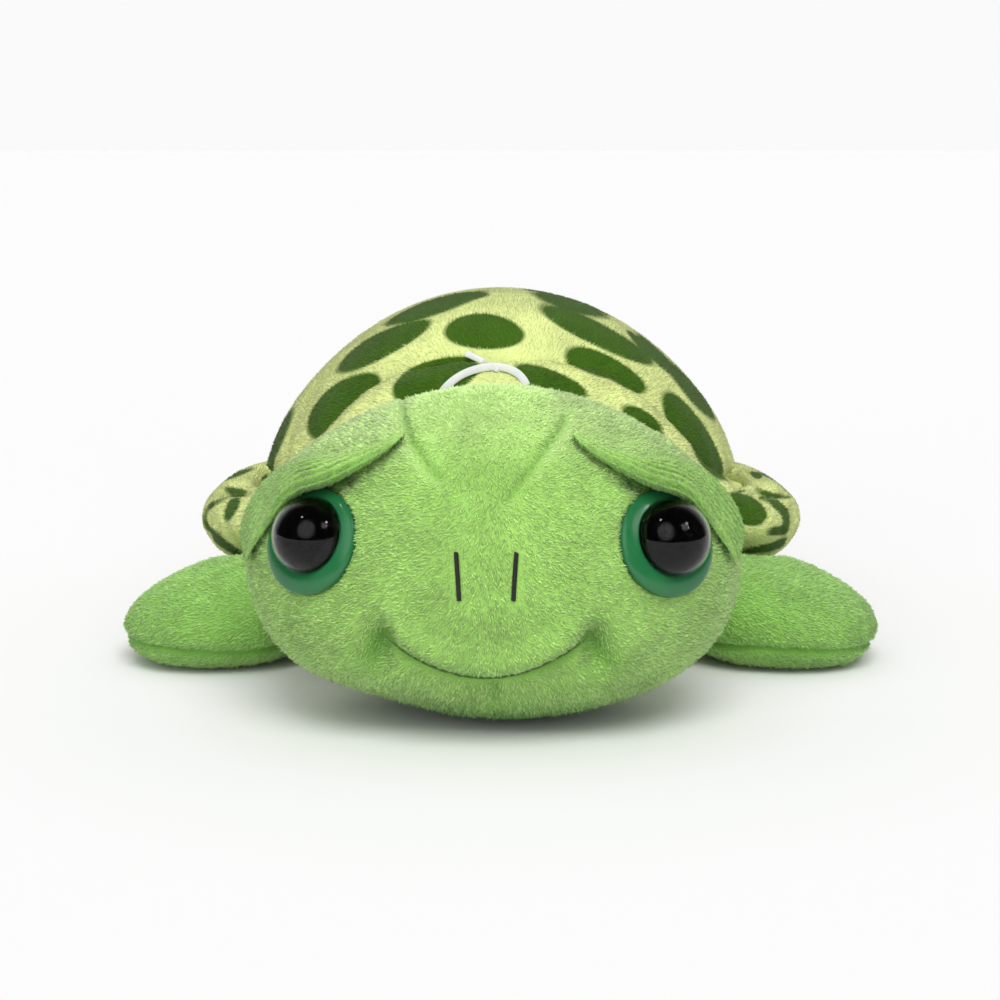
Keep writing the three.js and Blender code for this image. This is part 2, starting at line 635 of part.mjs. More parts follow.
function tagLoop() {
  const rimMiddle = SEAM_FRONT_Z + RIM_TOP_RISE - RIM_FRONT_HEIGHT / 2;
  const footZ = rimMiddle + (RIM_FRONT_HEIGHT / 2) * arch(LOOP_OUT_SHARE, RIM_POWER);
  const foot = bodyPoint(-QUARTER_TURN, footZ, RIM_REACH * LOOP_OUT_SHARE);
  const middle = (LOOP_FOOT_LEFT + LOOP_FOOT_RIGHT) / 2;
  const half = (LOOP_FOOT_RIGHT - LOOP_FOOT_LEFT) / 2;
  const bow = steps(facets.loop).map((t) =>
    point(middle - half * Math.cos(t * HALF_TURN), foot.y, foot.z + LOOP_RISE * Math.sin(t * HALF_TURN)));
  const ends = [LOOP_FOOT_LEFT, LOOP_FOOT_RIGHT].map((x) => point(x, foot.y, foot.z - LOOP_ROOT));
  const crown = bow[facets.loop / 2];
  const tail = steps(2).map((t) => crown.clone()
    .add(point(-LOOP_TAIL_LENGTH * t, LOOP_RADIUS * t, LOOP_TAIL_RISE * t)));
  return tube([ends[0], ...bow, ends[1]], LOOP_RADIUS, facets.loop).add(tube(tail, LOOP_RADIUS, facets.loop));
}

// Assembly

const sides = { left: 1, right: -1 };
const body = new THREE.Group();
const head = new THREE.Group();
function place(name, solid, material, group = body) {
  const mesh = new THREE.Mesh(toGeometry(solid), material());
  mesh.name = name;
  group.add(mesh);
}

place("shell_dome", shellDome(), materials.ground);
place("belly_cover", bellyCover(), materials.ground);
place("body_filling", bodyFilling(), materials.filling);
const loop = tagLoop();
place("shell_rim", shellRim().subtract(loop), materials.ground);
place("tag_loop", loop, materials.clear);

place("head_cover", headCover(), materials.pile, head);
place("head_filling", headFilling(), materials.filling, head);
place("mouth_thread", mouthThread(), materials.pile, head);
for (const [name, side] of Object.entries(sides)) {
  place(`${name}_brow`, brow(side), materials.pile, head);
  place(`${name}_nostril`, nostril(side, NOSTRIL_RADIUS, 0), materials.thread, head);
  place(`${name}_eye_back`, eyeBack(side), materials.iris, head);
  place(`${name}_eye_pupil`, eyePupil(side), materials.black, head);
  place(`${name}_eye_lens`, eyeLens(side), materials.clear, head);
  place(`${name}_eye_washer`, eyeWasher(side), materials.washer, head);
}
// The whole head is turned about the upright line through its neck
head.rotation.z = HEAD_TURN_ANGLE;
head.position.copy(neckCentre).sub(neckCentre.clone().applyAxisAngle(UP, HEAD_TURN_ANGLE));
body.add(head);

for (const [name, side] of Object.entries(sides)) {
  place(`front_${name}_flipper`, limbCover(FRONT_LIMB, side), materials.pile);
  place(`front_${name}_flipper_filling`, limbFilling(FRONT_LIMB, side), materials.filling);
  place(`rear_${name}_foot`, limbCover(BACK_LIMB, side), materials.pile);
  place(`rear_${name}_foot_filling`, limbFilling(BACK_LIMB, side), materials.filling);
}
place("tail", limbCover(TAIL, 1), materials.pile);
place("tail_filling", limbFilling(TAIL, 1), materials.filling);

// The middle of the whole toy, nose to tail, goes over the origin
const extent = new THREE.Box3().setFromObject(body, true);
body.position.y = -(extent.min.y + extent.max.y) / 2;

const turtle = new THREE.Group();
turtle.add(body);
export default turtle;
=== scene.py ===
"""Plush turtle lying on its belly: stuffed head, spotted shell with a padded rim, paddle limbs, safety eyes.

Lengths are in metres. The toy is built in the order in which it is sewn, stuffed and finished.
"""

import json
import math

import bmesh
import bpy
import numpy as np
from mathutils import Matrix, Vector
from mathutils.bvhtree import BVHTree


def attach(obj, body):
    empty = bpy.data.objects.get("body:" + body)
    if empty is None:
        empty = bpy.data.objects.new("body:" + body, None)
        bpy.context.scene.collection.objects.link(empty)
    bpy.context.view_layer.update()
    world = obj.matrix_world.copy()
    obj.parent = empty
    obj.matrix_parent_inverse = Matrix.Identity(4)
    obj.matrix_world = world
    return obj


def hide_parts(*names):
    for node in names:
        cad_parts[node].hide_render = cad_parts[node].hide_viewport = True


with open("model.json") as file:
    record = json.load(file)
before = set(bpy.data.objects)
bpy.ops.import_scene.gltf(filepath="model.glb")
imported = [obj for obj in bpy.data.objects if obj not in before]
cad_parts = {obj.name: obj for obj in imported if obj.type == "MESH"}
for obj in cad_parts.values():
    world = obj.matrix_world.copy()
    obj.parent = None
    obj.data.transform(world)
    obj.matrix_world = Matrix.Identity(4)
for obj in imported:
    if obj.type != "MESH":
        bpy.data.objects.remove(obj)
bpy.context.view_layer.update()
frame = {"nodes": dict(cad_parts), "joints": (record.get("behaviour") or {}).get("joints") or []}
scene = bpy.context.scene
mm = 0.001

# ---------------------------------------------------------------------------------------------
# Studio. A camera a little above the toy, a white floor that runs on to the horizon, a wide
# white surround, and two broad soft suns that shine from the camera's side.
# ---------------------------------------------------------------------------------------------
CAMERA_PLACE = (-0.2 * mm, -555.3 * mm, 118.7 * mm)
CAMERA_TILT = 9  # degrees below level
PICTURE = 1000  # pixels along each side of the picture
FLOOR_HALF = 6.0
FLOOR_WHITE = 0.772
BACKGROUND_WHITE = 0.955


def new_object(name, data):
    made = bpy.data.objects.new(name, data)
    scene.collection.objects.link(made)
    return made


camera_data = bpy.data.cameras.new("camera")
camera_data.lens = 90
camera_data.sensor_width = 36
camera = new_object("camera", camera_data)
camera.location = CAMERA_PLACE
camera.rotation_euler = (math.radians(90 - CAMERA_TILT), 0, 0)
scene.camera = camera
scene.view_settings.view_transform = "Standard"


def give(tree, node, inputs):
    """Each of a node's inputs, by name or number, takes a value or another node's output."""
    for key, value in inputs.items():
        if isinstance(value, bpy.types.NodeSocket):
            tree.links.new(value, node.inputs[key])
        else:
            node.inputs[key].default_value = value


def new_node(tree, kind, inputs=None, out=0, **settings):
    """Adds a node, and returns the output of it that is wanted."""
    made = tree.nodes.new(kind)
    for key, value in settings.items():
        setattr(made, key, value)
    give(tree, made, inputs or {})
    return made.outputs[out] if len(made.outputs) else made


def new_material(name):
    material = bpy.data.materials.new(name)
    material.use_nodes = True
    return material, material.node_tree, material.node_tree.nodes["Principled BSDF"]


def ramp(tree, value, low, high, at_low, at_high, curve="LINEAR"):
    """Goes from at_low to at_high while value goes from low to high, and is level outside."""
    ends = {"From Min": low, "From Max": high, "To Min": at_low, "To Max": at_high}
    return new_node(tree, "ShaderNodeMapRange", {"Value": value, **ends}, interpolation_type=curve)


floor_mesh = bpy.data.meshes.new("floor")
corners = [(x * FLOOR_HALF, y * FLOOR_HALF, 0) for x, y in ((-1, -1), (1, -1), (1, 1), (-1, 1))]
floor_mesh.from_pydata(corners, [], [(0, 1, 2, 3)])
floor = new_object("floor", floor_mesh)
floor_paint, paint_tree, paint = new_material("white_floor")
white = (FLOOR_WHITE, FLOOR_WHITE, FLOOR_WHITE, 1)
give(paint_tree, paint, {"Base Color": white, "Roughness": 0.9, "Specular IOR Level": 0})
floor.data.materials.append(floor_paint)

world = bpy.data.worlds.new("white surround")
scene.world = world
world.use_nodes = True
sky = world.node_tree
direction = new_node(sky, "ShaderNodeTexCoord", out="Generated")
sky_up = new_node(sky, "ShaderNodeSeparateXYZ", {0: direction}, out="Z")
sky_back = sky_up.node.outputs["Y"]


def glow(value, low, high, at_low, at_high):
    return ramp(sky, value, low, high, at_low, at_high, "SMOOTHSTEP")


# The cloth is lit by white walls at the sides and a brighter ceiling, and faces a dark wall behind
# the camera. Polished things mirror a dark studio with two soft boxes, three small lamps and a
# pale wall far behind the toy.
walls = glow(sky_back, -0.8, -0.3, 0.04, 0.5)
cloth_light = glow(sky_up, 0.4, 0.85, walls, 0.71)
mirrored = glow(sky_back, 0.3, 0.85, 0.04, 0.95)
SOFT_BOXES = [((-0.25, -0.8, 0.5), 24, 1.3), ((0.6, -0.5, 0.6), 9, 2.2)]
SMALL_LAMPS = [((0.68, -0.29, 0.685), 3.5, 14.0), ((0.74, -0.4, 0.54), 2.5, 10.0), ((-0.43, -0.27, 0.86), 3, 14.0)]
for way, degrees, strength in SOFT_BOXES + SMALL_LAMPS:
    outer, inner = (math.cos(math.radians(share * degrees)) for share in (1.25, 0.75))
    cosine = new_node(
        sky, "ShaderNodeVectorMath", {0: direction, 1: Vector(way).normalized()}, out="Value", operation="DOT_PRODUCT"
    )
    mirrored = glow(cosine, outer, inner, mirrored, strength)
path = new_node(sky, "ShaderNodeLightPath").node
rooms = {"Is Glossy Ray": mirrored, "Is Transmission Ray": mirrored, "Is Camera Ray": BACKGROUND_WHITE}
for ray, room in rooms.items():
    cloth_light = glow(path.outputs[ray], 0, 1, cloth_light, room)
give(sky, sky.nodes["Background"], {"Strength": cloth_light, "Color": (1, 1, 1, 1)})

for name, way, strength, spread in (("key", (-0.1, 0.62, -0.78), 1.88, 35), ("fill", (0.1, 0.95, -0.29), 2.2, 70)):
    light_data = bpy.data.lights.new(name, "SUN")
    light_data.energy = strength
    light_data.angle = math.radians(spread)
    light = new_object(name, light_data)
    light.rotation_euler = Vector(way).to_track_quat("-Z", "Y").to_euler()
    light.visible_glossy = light.visible_transmission = False

# ---------------------------------------------------------------------------------------------
# Shell dome: printed short-pile plush, sewn from one crowned panel and stuffed hard with fibre.
# Its lower edge is a seam under the padded rim, raised at the front like a collar.
# ---------------------------------------------------------------------------------------------
BODY_SIDE = 58.5 * mm
BODY_FRONT = 50 * mm
BODY_BACK = 66 * mm
DOME_TOP = 77.4 * mm
DOME_ROOT_Z = 20 * mm
BOWL_TOP_Z = 30 * mm
SEAM_Z = 34 * mm
SEAM_FRONT_Z = 63 * mm
QUARTER = math.pi / 2

nod = next(j for j in frame["joints"] if j["name"] == "head_nod")
neck = Vector(nod["pos_m"])
in_row = Matrix.Translation((0, neck.y + BODY_FRONT, 0))  # from the body's own middle to the row frame


def mix(a, b, t):
    return a + (b - a) * t


def ease(t):
    t = np.clip(t, 0, 1)
    return t * t * (3 - 2 * t)


def arch(t, power):
    return np.maximum(0, 1 - np.abs(t) ** power) ** (1 / power)


def bell(distance, width):
    return np.exp(-((distance / width) ** 2))


def bearing_of(p):
    return np.arctan2(p[:, 1], p[:, 0])


def frontness(bearing):
    return np.maximum(0, -np.sin(bearing))


def collar(bearing):
    return ease((frontness(bearing) - 0.2) / 0.8) ** 3.2


def seam_height(bearing):
    return mix(SEAM_Z, SEAM_FRONT_Z, collar(bearing))


def body_point(bearing, z, off):
    """Points of the stuffed body's surface at bearings from its middle, moved outwards by off."""
    deep = np.where(np.sin(bearing) < 0, BODY_FRONT, BODY_BACK)
    rise = DOME_TOP + off - DOME_ROOT_Z
    power = mix(1.88, 4.0, frontness(bearing) ** 3)
    dome = arch(np.clip((z - DOME_ROOT_Z) / rise, 0, 1), power)
    dome_foot = arch(np.clip((BOWL_TOP_Z - DOME_ROOT_Z) / rise, 0, 1), power)
    climbed = np.clip((z + off) / (BOWL_TOP_Z + off), 0, 1)
    share = np.where(z < BOWL_TOP_Z, mix(0.52, dome_foot, arch(1 - climbed, 1.7)), dome)
    return np.stack(
        [(BODY_SIDE + off) * share * np.cos(bearing), (deep + off) * share * np.sin(bearing), z + 0 * bearing], -1
    )


def ring_mesh(name, rings, wrapped=False):
    """A closed cover through rings of points; the first and last may be single points."""
    mesh = bmesh.new()
    rows = [[mesh.verts.new(p) for p in ring] for ring in rings]
    pairs = list(zip(rows, rows[1:] + rows[:1] if wrapped else rows[1:]))
    for low, high in pairs:
        count = max(len(low), len(high))
        for j in range(count):
            k = (j + 1) % count
            corners = [low[j % len(low)], low[k % len(low)], high[k % len(high)], high[j % len(high)]]
            corners = [v for i, v in enumerate(corners) if v is not corners[i - 1]]
            mesh.faces.new(corners)
    bmesh.ops.recalc_face_normals(mesh, faces=mesh.faces)
    data = bpy.data.meshes.new(name)
    mesh.to_mesh(data)
    mesh.free()
    return new_object(name, data)


def finish_modifiers(piece):
    """Keeps what the piece's modifiers make, as its own plain mesh."""
    graph = bpy.context.evaluated_depsgraph_get()
    made = bpy.data.meshes.new_from_object(piece.evaluated_get(graph), depsgraph=graph)
    piece.modifiers.clear()
    old, piece.data = piece.data, made
    made.name = piece.name
    bpy.data.meshes.remove(old)


def places_of(piece):
    co = np.empty(len(piece.data.vertices) * 3)
    piece.data.vertices.foreach_get("co", co)
    return co.reshape(-1, 3)


def move_points(piece, places):
    piece.data.vertices.foreach_set("co", np.ascontiguousarray(places, dtype=np.float64).ravel())
    piece.data.update()


def normals_of(piece):
    out = np.empty(len(piece.data.vertices) * 3)
    piece.data.vertex_normals.foreach_get("vector", out)
    return out.reshape(-1, 3)


CLOTH_SCALE = 10  # the solver is made for lengths of half a metre
CLOTH_FRAMES = 20
CLOTH_PRESSURE = 8.0


def smooth_over(piece, levels):
    smooth = piece.modifiers.new("smooth", "SUBSURF")
    smooth.levels = smooth.render_levels = levels
    finish_modifiers(piece)
    piece.data.shade_smooth()


def stuff(piece, held, cap, voxel):
    """Turns a cover into a stuffed one: cloth blown up under pressure, with its seams held still."""
    remesh = piece.modifiers.new("voxels", "REMESH")
    remesh.mode = "VOXEL"
    remesh.voxel_size = voxel
    finish_modifiers(piece)
    start = places_of(piece)
    move_points(piece, start * CLOTH_SCALE)
    seam = piece.vertex_groups.new(name="seam")
    for i, weight in enumerate(held(start)):
        if weight > 0.01:
            seam.add([i], float(min(1, weight)), "REPLACE")
    cloth = piece.modifiers.new("cloth", "CLOTH")
    cloth.settings.quality = 4
    cloth.settings.mass = 0.15
    cloth.settings.vertex_group_mass = "seam"
    cloth.settings.use_pressure = True
    cloth.settings.uniform_pressure_force = CLOTH_PRESSURE
    cloth.settings.effector_weights.gravity = 0
    cloth.collision_settings.use_collision = False
    for moment in range(1, CLOTH_FRAMES + 1):
        scene.frame_set(moment)
    graph = bpy.context.evaluated_depsgraph_get()
    blown = piece.evaluated_get(graph).to_mesh()
    end = np.empty(len(blown.vertices) * 3)
    blown.vertices.foreach_get("co", end)
    piece.evaluated_get(graph).to_mesh_clear()
    move = end.reshape(-1, 3) / CLOTH_SCALE - start
    length = np.maximum(np.linalg.norm(move, axis=1, keepdims=True), 1e-9)
    piece.modifiers.clear()
    piece.vertex_groups.clear()
    scene.frame_set(1)
    move_points(piece, start + move * np.minimum(1, cap / length))
    smooth_over(piece, 2)


def press(piece, amount):
    """Moves each point along its normal by amount(places, normals)."""
    places, normals = places_of(piece), normals_of(piece)
    move_points(piece, places + normals * amount(places, normals)[:, None])


def ripple(places, scale, seed):
    """Smooth unevenness between -1 and 1 that repeats nowhere near."""
    turns = np.array([[0.8, 0.5, -0.33], [-0.4, 0.86, 0.31], [0.3, -0.29, 0.9], [-0.72, -0.6, 0.35]])
    total = 0
    for i, axis in enumerate(turns):
        total = total + np.sin((places @ axis) / scale * (1 + 0.31 * i) + seed + 1.7 * i)
    return total / len(turns)


def set_attribute(piece, name, values):
    vector = values.ndim == 2
    layer = piece.data.attributes.new(name, "FLOAT_VECTOR" if vector else "FLOAT", "POINT")
    layer.data.foreach_set("vector" if vector else "value", np.ascontiguousarray(values, dtype=np.float32).ravel())


def maths(tree, operation, a, b):
    return new_node(tree, "ShaderNodeMath", {0: a, 1: b}, operation=operation)


def vector_maths(tree, operation, a, b):
    second = "Scale" if operation == "SCALE" else 1
    return new_node(tree, "ShaderNodeVectorMath", {0: a, second: b}, operation=operation)


def random_number(tree, low, high, seed):
    return new_node(tree, "FunctionNodeRandomValue", {2: low, 3: high, "Seed": seed}, out=1, data_type="FLOAT")


def read_layer(tree, name, kind):
    return new_node(tree, "GeometryNodeInputNamedAttribute", {"Name": name}, out="Attribute", data_type=kind)


def store_layer(tree, geometry, name, domain, value):
    given = {"Geometry": geometry, "Name": name, "Value": value}
    return new_node(tree, "GeometryNodeStoreNamedAttribute", given, data_type="FLOAT", domain=domain)


def new_tree(name, source, sizes, finish, result):
    """A tree that makes one geometry from another, with sizes, a seed and a material to set."""
    tree = bpy.data.node_groups.new(name, "GeometryNodeTree")
    sockets = [(source, "Geometry", None), *[(size, "Float", value) for size, value in sizes.items()]]
    sockets += [("Seed", "Int", 1), (finish, "Material", None), (result, "Geometry", None)]
    for label, kind, value in sockets:
        way = "OUTPUT" if label == result else "INPUT"
        socket = tree.interface.new_socket(label, in_out=way, socket_type=f"NodeSocket{kind}")
        if value is not None:
            socket.default_value = value
    return tree, tree.nodes.new("NodeGroupInput").outputs


def end_tree(tree, instances, finish, result):
    real = new_node(tree, "GeometryNodeRealizeInstances", {"Geometry": instances})
    dyed = new_node(tree, "GeometryNodeSetMaterial", {"Geometry": real, "Material": finish})
    new_node(tree, "NodeGroupOutput", {result: dyed})


def pile_tree():
    """Tufts of short pile that lean along the cloth's nap, with neighbours clumped together."""
    sizes = {
        "Tufts per square metre": 3e6, "Tuft length": 2 * mm, "Tuft width": 0.5 * mm,
        "Lean": 1.0, "Clump size": 3 * mm, "Clumping": 0.6,
    }
    tree, given = new_tree("short_pile", "Cloth", sizes, "Fibre", "Pile")
    scatter = {"Mesh": given["Cloth"], "Density": given["Tufts per square metre"], "Seed": given["Seed"]}
    points = new_node(tree, "GeometryNodeDistributePointsOnFaces", scatter, out="Points")

    leaning = vector_maths(tree, "SCALE", read_layer(tree, "nap", "FLOAT_VECTOR"), given["Lean"])
    upright = vector_maths(tree, "ADD", leaning, points.node.outputs["Normal"])
    place = new_node(tree, "GeometryNodeInputPosition")
    clump_sizes = new_node(tree, "ShaderNodeCombineXYZ", dict.fromkeys("XYZ", given["Clump size"]))
    in_clumps = vector_maths(tree, "DIVIDE", place, clump_sizes)
    clumps = new_node(tree, "ShaderNodeTexNoise", {"Vector": in_clumps, "Scale": 1, "Detail": 1}, out="Color")
    centred = vector_maths(tree, "SUBTRACT", clumps, (0.5, 0.5, 0.5))
    gathered = vector_maths(tree, "SCALE", centred, maths(tree, "MULTIPLY", given["Clumping"], 4))
    clumped = vector_maths(tree, "ADD", upright, gathered)
    stray = new_node(
        tree, "FunctionNodeRandomValue", {0: (-0.3, -0.3, -0.3), 1: (0.3, 0.3, 0.3), "Seed": given["Seed"]},
        data_type="FLOAT_VECTOR",
    )
    aim = vector_maths(tree, "ADD", clumped, stray)
    turn = new_node(tree, "FunctionNodeAlignRotationToVector", {"Vector": aim}, axis="Z")

    foot = maths(tree, "MULTIPLY", given["Tuft width"], 0.5)
    cone = {"Vertices": 3, "Radius Top": 0, "Radius Bottom": foot, "Depth": given["Tuft length"]}
    tuft = new_node(tree, "GeometryNodeMeshCone", cone, fill_type="NONE")
    height = new_node(tree, "ShaderNodeSeparateXYZ", {0: place}, out="Z")
    marked = store_layer(tree, tuft, "along", "POINT", maths(tree, "DIVIDE", height, given["Tuft length"]))

    left = maths(tree, "SUBTRACT", 1, read_layer(tree, "trim", "FLOAT"))
    sized = maths(tree, "MULTIPLY", random_number(tree, 0.7, 1.25, given["Seed"]), left)
    stand = {"Points": points, "Instance": marked, "Rotation": turn, "Scale": sized}
    tufts = new_node(tree, "GeometryNodeInstanceOnPoints", stand)
    shade = random_number(tree, 0, 1, maths(tree, "ADD", given["Seed"], 7))
    end_tree(tree, store_layer(tree, tufts, "shade", "INSTANCE", shade), given["Fibre"], "Pile")
    return tree


short_pile = pile_tree()


def run_tree(piece, tree, **values):
    """Makes what a node tree makes from the piece, as a plain mesh of its own."""
    modifier = piece.modifiers.new("tree", "NODES")
    modifier.node_group = tree
    for item in tree.interface.items_tree:
        key = item.name.replace(" ", "_").lower()
        if key in values:
            modifier[item.identifier] = values[key]
    finish_modifiers(piece)


def grow_pile(cloth, name, fibre, keep=None, **values):
    """Pile over a finished cover: a piece of its own, grown where keep says the cover shows."""
    ground = cloth.copy()
    ground.data = cloth.data.copy()
    ground.name = name
    scene.collection.objects.link(ground)
    if keep is not None:
        mesh = bmesh.new()
        mesh.from_mesh(ground.data)
        shown = keep(places_of(ground))
        bmesh.ops.delete(mesh, geom=[v for v, ok in zip(mesh.verts, shown) if not ok], context="VERTS")
        mesh.to_mesh(ground.data)
        mesh.free()
    run_tree(ground, short_pile, fibre=fibre, **values)
    ground.data.shade_smooth()
    return ground


# Painted shade: the colour the pile is multiplied by where its painted shade is full
PAINTED_SHADE_TINT = (0.38, 0.6, 0.34)  # what a crease does to the colour of the pile in it


def blended(tree, share, a, b):
    """Colour a where share is 0 and b where it is 1. Each is three numbers or a node's output."""
    colours = {key: (*value, 1) if isinstance(value, tuple) else value for key, value in (("A", a), ("B", b))}
    return new_node(tree, "ShaderNodeMix", {"Factor": share, **colours}, out="Result", data_type="RGBA")


def noise(tree, place, scale, detail):
    given = {"Vector": place, "Scale": scale, "Detail": detail}
    return new_node(tree, "ShaderNodeTexNoise", given, out="Fac")


def plush_material(name, root, tip, other_root, other_tip, mask, edge, sheen):
    """Pile fibre: dark between the tufts, lighter at their tips, uneven from tuft to tuft and from one brushed patch
    to the next. The mask attribute changes it to the other colours between its edge values: print on the shell,
    painted top light on the green plush. A second attribute darkens it with painted shade in creases and hollows.
    Attributes that a piece lacks read 0."""
    material, tree, shader = new_material(name)

    def attribute(label):
        return new_node(tree, "ShaderNodeAttribute", out="Fac", attribute_name=label)

    along = attribute("along")
    masked = ramp(tree, attribute(mask), *edge, 0, 1)
    colour = blended(tree, masked, blended(tree, along, root, tip), blended(tree, along, other_root, other_tip))
    place = new_node(tree, "ShaderNodeTexCoord", out="Object")
    patches = ramp(tree, noise(tree, place, 110, 3), 0.3, 0.7, 0.86, 1.1)
    uneven = maths(tree, "MULTIPLY", patches, ramp(tree, attribute("shade"), 0, 1, 0.82, 1.14))
    shaded = vector_maths(tree, "MULTIPLY", colour, blended(tree, attribute("crease"), (1.0, 1.0, 1.0), PAINTED_SHADE_TINT))
    fuzz = {"Strength": 0.5, "Distance": 0.3 * mm, "Height": noise(tree, place, 1400, 3)}
    looks = {
        "Base Color": vector_maths(tree, "SCALE", shaded, uneven),
        "Normal": new_node(tree, "ShaderNodeBump", fuzz),
        "Roughness": 0.85,
        "Specular IOR Level": 0.2,
        "Sheen Weight": sheen,
        "Sheen Roughness": 0.45,
        "Sheen Tint": (*[0.5 + 0.5 * c for c in tip], 1),
    }
    give(tree, shader, looks)
    return material


# The print's dark green also serves as painted shade in the rim's deep folds and under its right end
shell_plush = plush_material(
    "shell_plush", (0.72, 0.81, 0.31), (0.88, 0.96, 0.45), (0.045, 0.122, 0.004), (0.075, 0.188, 0.009),
    mask="spot", edge=(0.28, 0.72), sheen=0.1,
)


def full_turn(count):
    return np.arange(count) / count * 2 * math.pi


bearings = full_turn(128)
CLOSE = 1.2 * mm  # the cover is cut this much smaller than it ends up when it is stuffed


def dome_rings(off, count):
    rise = DOME_TOP + off - DOME_ROOT_Z
    low = np.arcsin(np.clip((seam_height(bearings) - DOME_ROOT_Z) / rise, 0, 1))
    heights = [DOME_ROOT_Z + rise * np.sin(mix(low, QUARTER, t)) for t in np.arange(count) / count]
    return [body_point(bearings, z, off) for z in heights]


dome_edge = dome_rings(-CLOSE, 24)
dome_floor = [mix(dome_edge[0], np.array([0, 0, SEAM_Z]), t) for t in (0.8, 0.6, 0.4, 0.2)]
dome = ring_mesh(
    "shell_top",
    [[(0, 0, SEAM_Z)], *dome_floor[::-1], *dome_edge, [(0, 0, DOME_TOP - CLOSE)]],
)


def dome_held(p):
    return 1 - ease((p[:, 2] - seam_height(bearing_of(p))) / (5 * mm))


stuff(dome, dome_held, cap=1.0 * mm, voxel=3.6 * mm)
press(dome, lambda p, n: 0.35 * mm * ripple(p, 11 * mm, 2) * ease((p[:, 2] - 40 * mm) / (20 * mm)))
dome.data.transform(in_row)


def tangent(vectors, normals):
    flat = vectors - normals * np.sum(vectors * normals, axis=1, keepdims=True)
    return flat / np.maximum(np.linalg.norm(flat, axis=1, keepdims=True), 1e-9)


PICTURE_REACH = camera_data.lens / camera_data.sensor_width * PICTURE


def on_screen(places):
    """Where the camera sees places in its picture, and the way from each to the camera."""
    away = places - np.array(camera.location)
    right, up, back = (away @ np.array(camera.rotation_euler.to_matrix())).T
    picture = np.stack([PICTURE / 2 - PICTURE_REACH * right / back, PICTURE / 2 + PICTURE_REACH * up / back], -1)
    return picture, -away / np.linalg.norm(away, axis=1, keepdims=True)


def surface_of(piece):
    return BVHTree.FromObject(piece, bpy.context.evaluated_depsgraph_get())


def surface_behind(surfaces, px, py):
    """The place, its normal and the way of sight where a place in the picture meets a cover first."""
    ray = Vector(((px - PICTURE / 2) / PICTURE_REACH, -(py - PICTURE / 2) / PICTURE_REACH, -1))
    ray.rotate(camera.rotation_euler)
    ray.normalize()
    met = [surface.ray_cast(camera.location, ray) for surface in surfaces]
    met = [(far, place, normal) for place, normal, _, far in met if place is not None]
    if not met:
        return None
    _, place, normal = min(met, key=lambda hit: hit[0])
    return place, normal, ray


def line_distance(flat, line):
    """How far flat places are from a line through points."""
    best = np.full(len(flat), np.inf)
    for a, b in zip(line[:-1], line[1:]):
        along = np.clip(((flat - a) @ (b - a)) / ((b - a) @ (b - a)), 0, 1)
        best = np.minimum(best, np.linalg.norm(flat - a - along[:, None] * (b - a), axis=1))
    return best


# Spots of the print that show from the front: the middle's place in the picture, half the length, half the width and
# the slope in degrees. Where the rim cuts a spot, both cloths carry its share. The thin marks at (234, 492) and (768,
# 495) are painted shade in the print's colour, in the deep folds beside the neck.
FACING_SPOTS_AND_SHADE = [
    (484, 332, 40, 18, 0), (596, 334, 62, 12, 27), (604, 371, 46, 15.5, 27), (550, 383, 40, 13, 20),
    (694, 440, 52, 18, 57), (692, 391, 43, 9, 48), (643, 421, 26, 9, 35), (381, 346, 53, 13, -28),
    (436, 307, 54, 8, -17), (570, 304, 46, 7, 18), (653, 349, 32, 4.5, 46), (738, 458, 29, 6, 66),
    (277, 442, 38, 7, -60), (342, 405, 47, 20, -42), (435, 380, 44, 21, -20), (267, 486, 13, 10, -45),
    (746, 509, 25, 14, 25), (740, 492, 5, 8, 0), (232, 508, 14, 6.5, -62), (234, 492, 11, 3, 8),
    (768, 495, 15, 3, 12),
]
PIXEL = 0.22 * mm  # about what one pixel covers at the shell
# Dark lines on the rim's front ends, as lines with their half widths: borders of the spots, and painted shade in the
# print's colour along the deep folds beside the neck (the lines near heights 490 to 497) and under the right end (the
# line near height 548)
RIM_BORDERS_AND_SHADE = [
    ([(243, 496), (227, 499), (215, 503), (206, 510), (204.5, 519), (208, 528), (220, 535)], 2.6),
    ([(211, 534), (224, 543.5), (240, 553)], 4.4), ([(226, 489.5), (247, 493)], 3),
    ([(228, 480), (239, 473), (256, 465)], 3.4), ([(761, 499), (775, 503.5)], 3),
    ([(775, 503.5), (785, 513), (787.5, 522.5), (783, 530.5), (768, 531)], 4.6),
    ([(742, 550), (768, 548), (786, 541)], 4.2), ([(757, 490), (774, 496.5), (789, 496)], 2.8),
    ([(749, 467), (758, 476)], 4.5),
]
# Spots that lie over the shell's outline as the camera sees it: a place just inside it in the
# picture, and half the length and half the width in millimetres
EDGE_SPOTS = [(436, 302, 12, 9), (569, 300, 10, 8), (651, 351, 7, 7), (737, 460, 7, 6), (278, 440, 8, 6)]


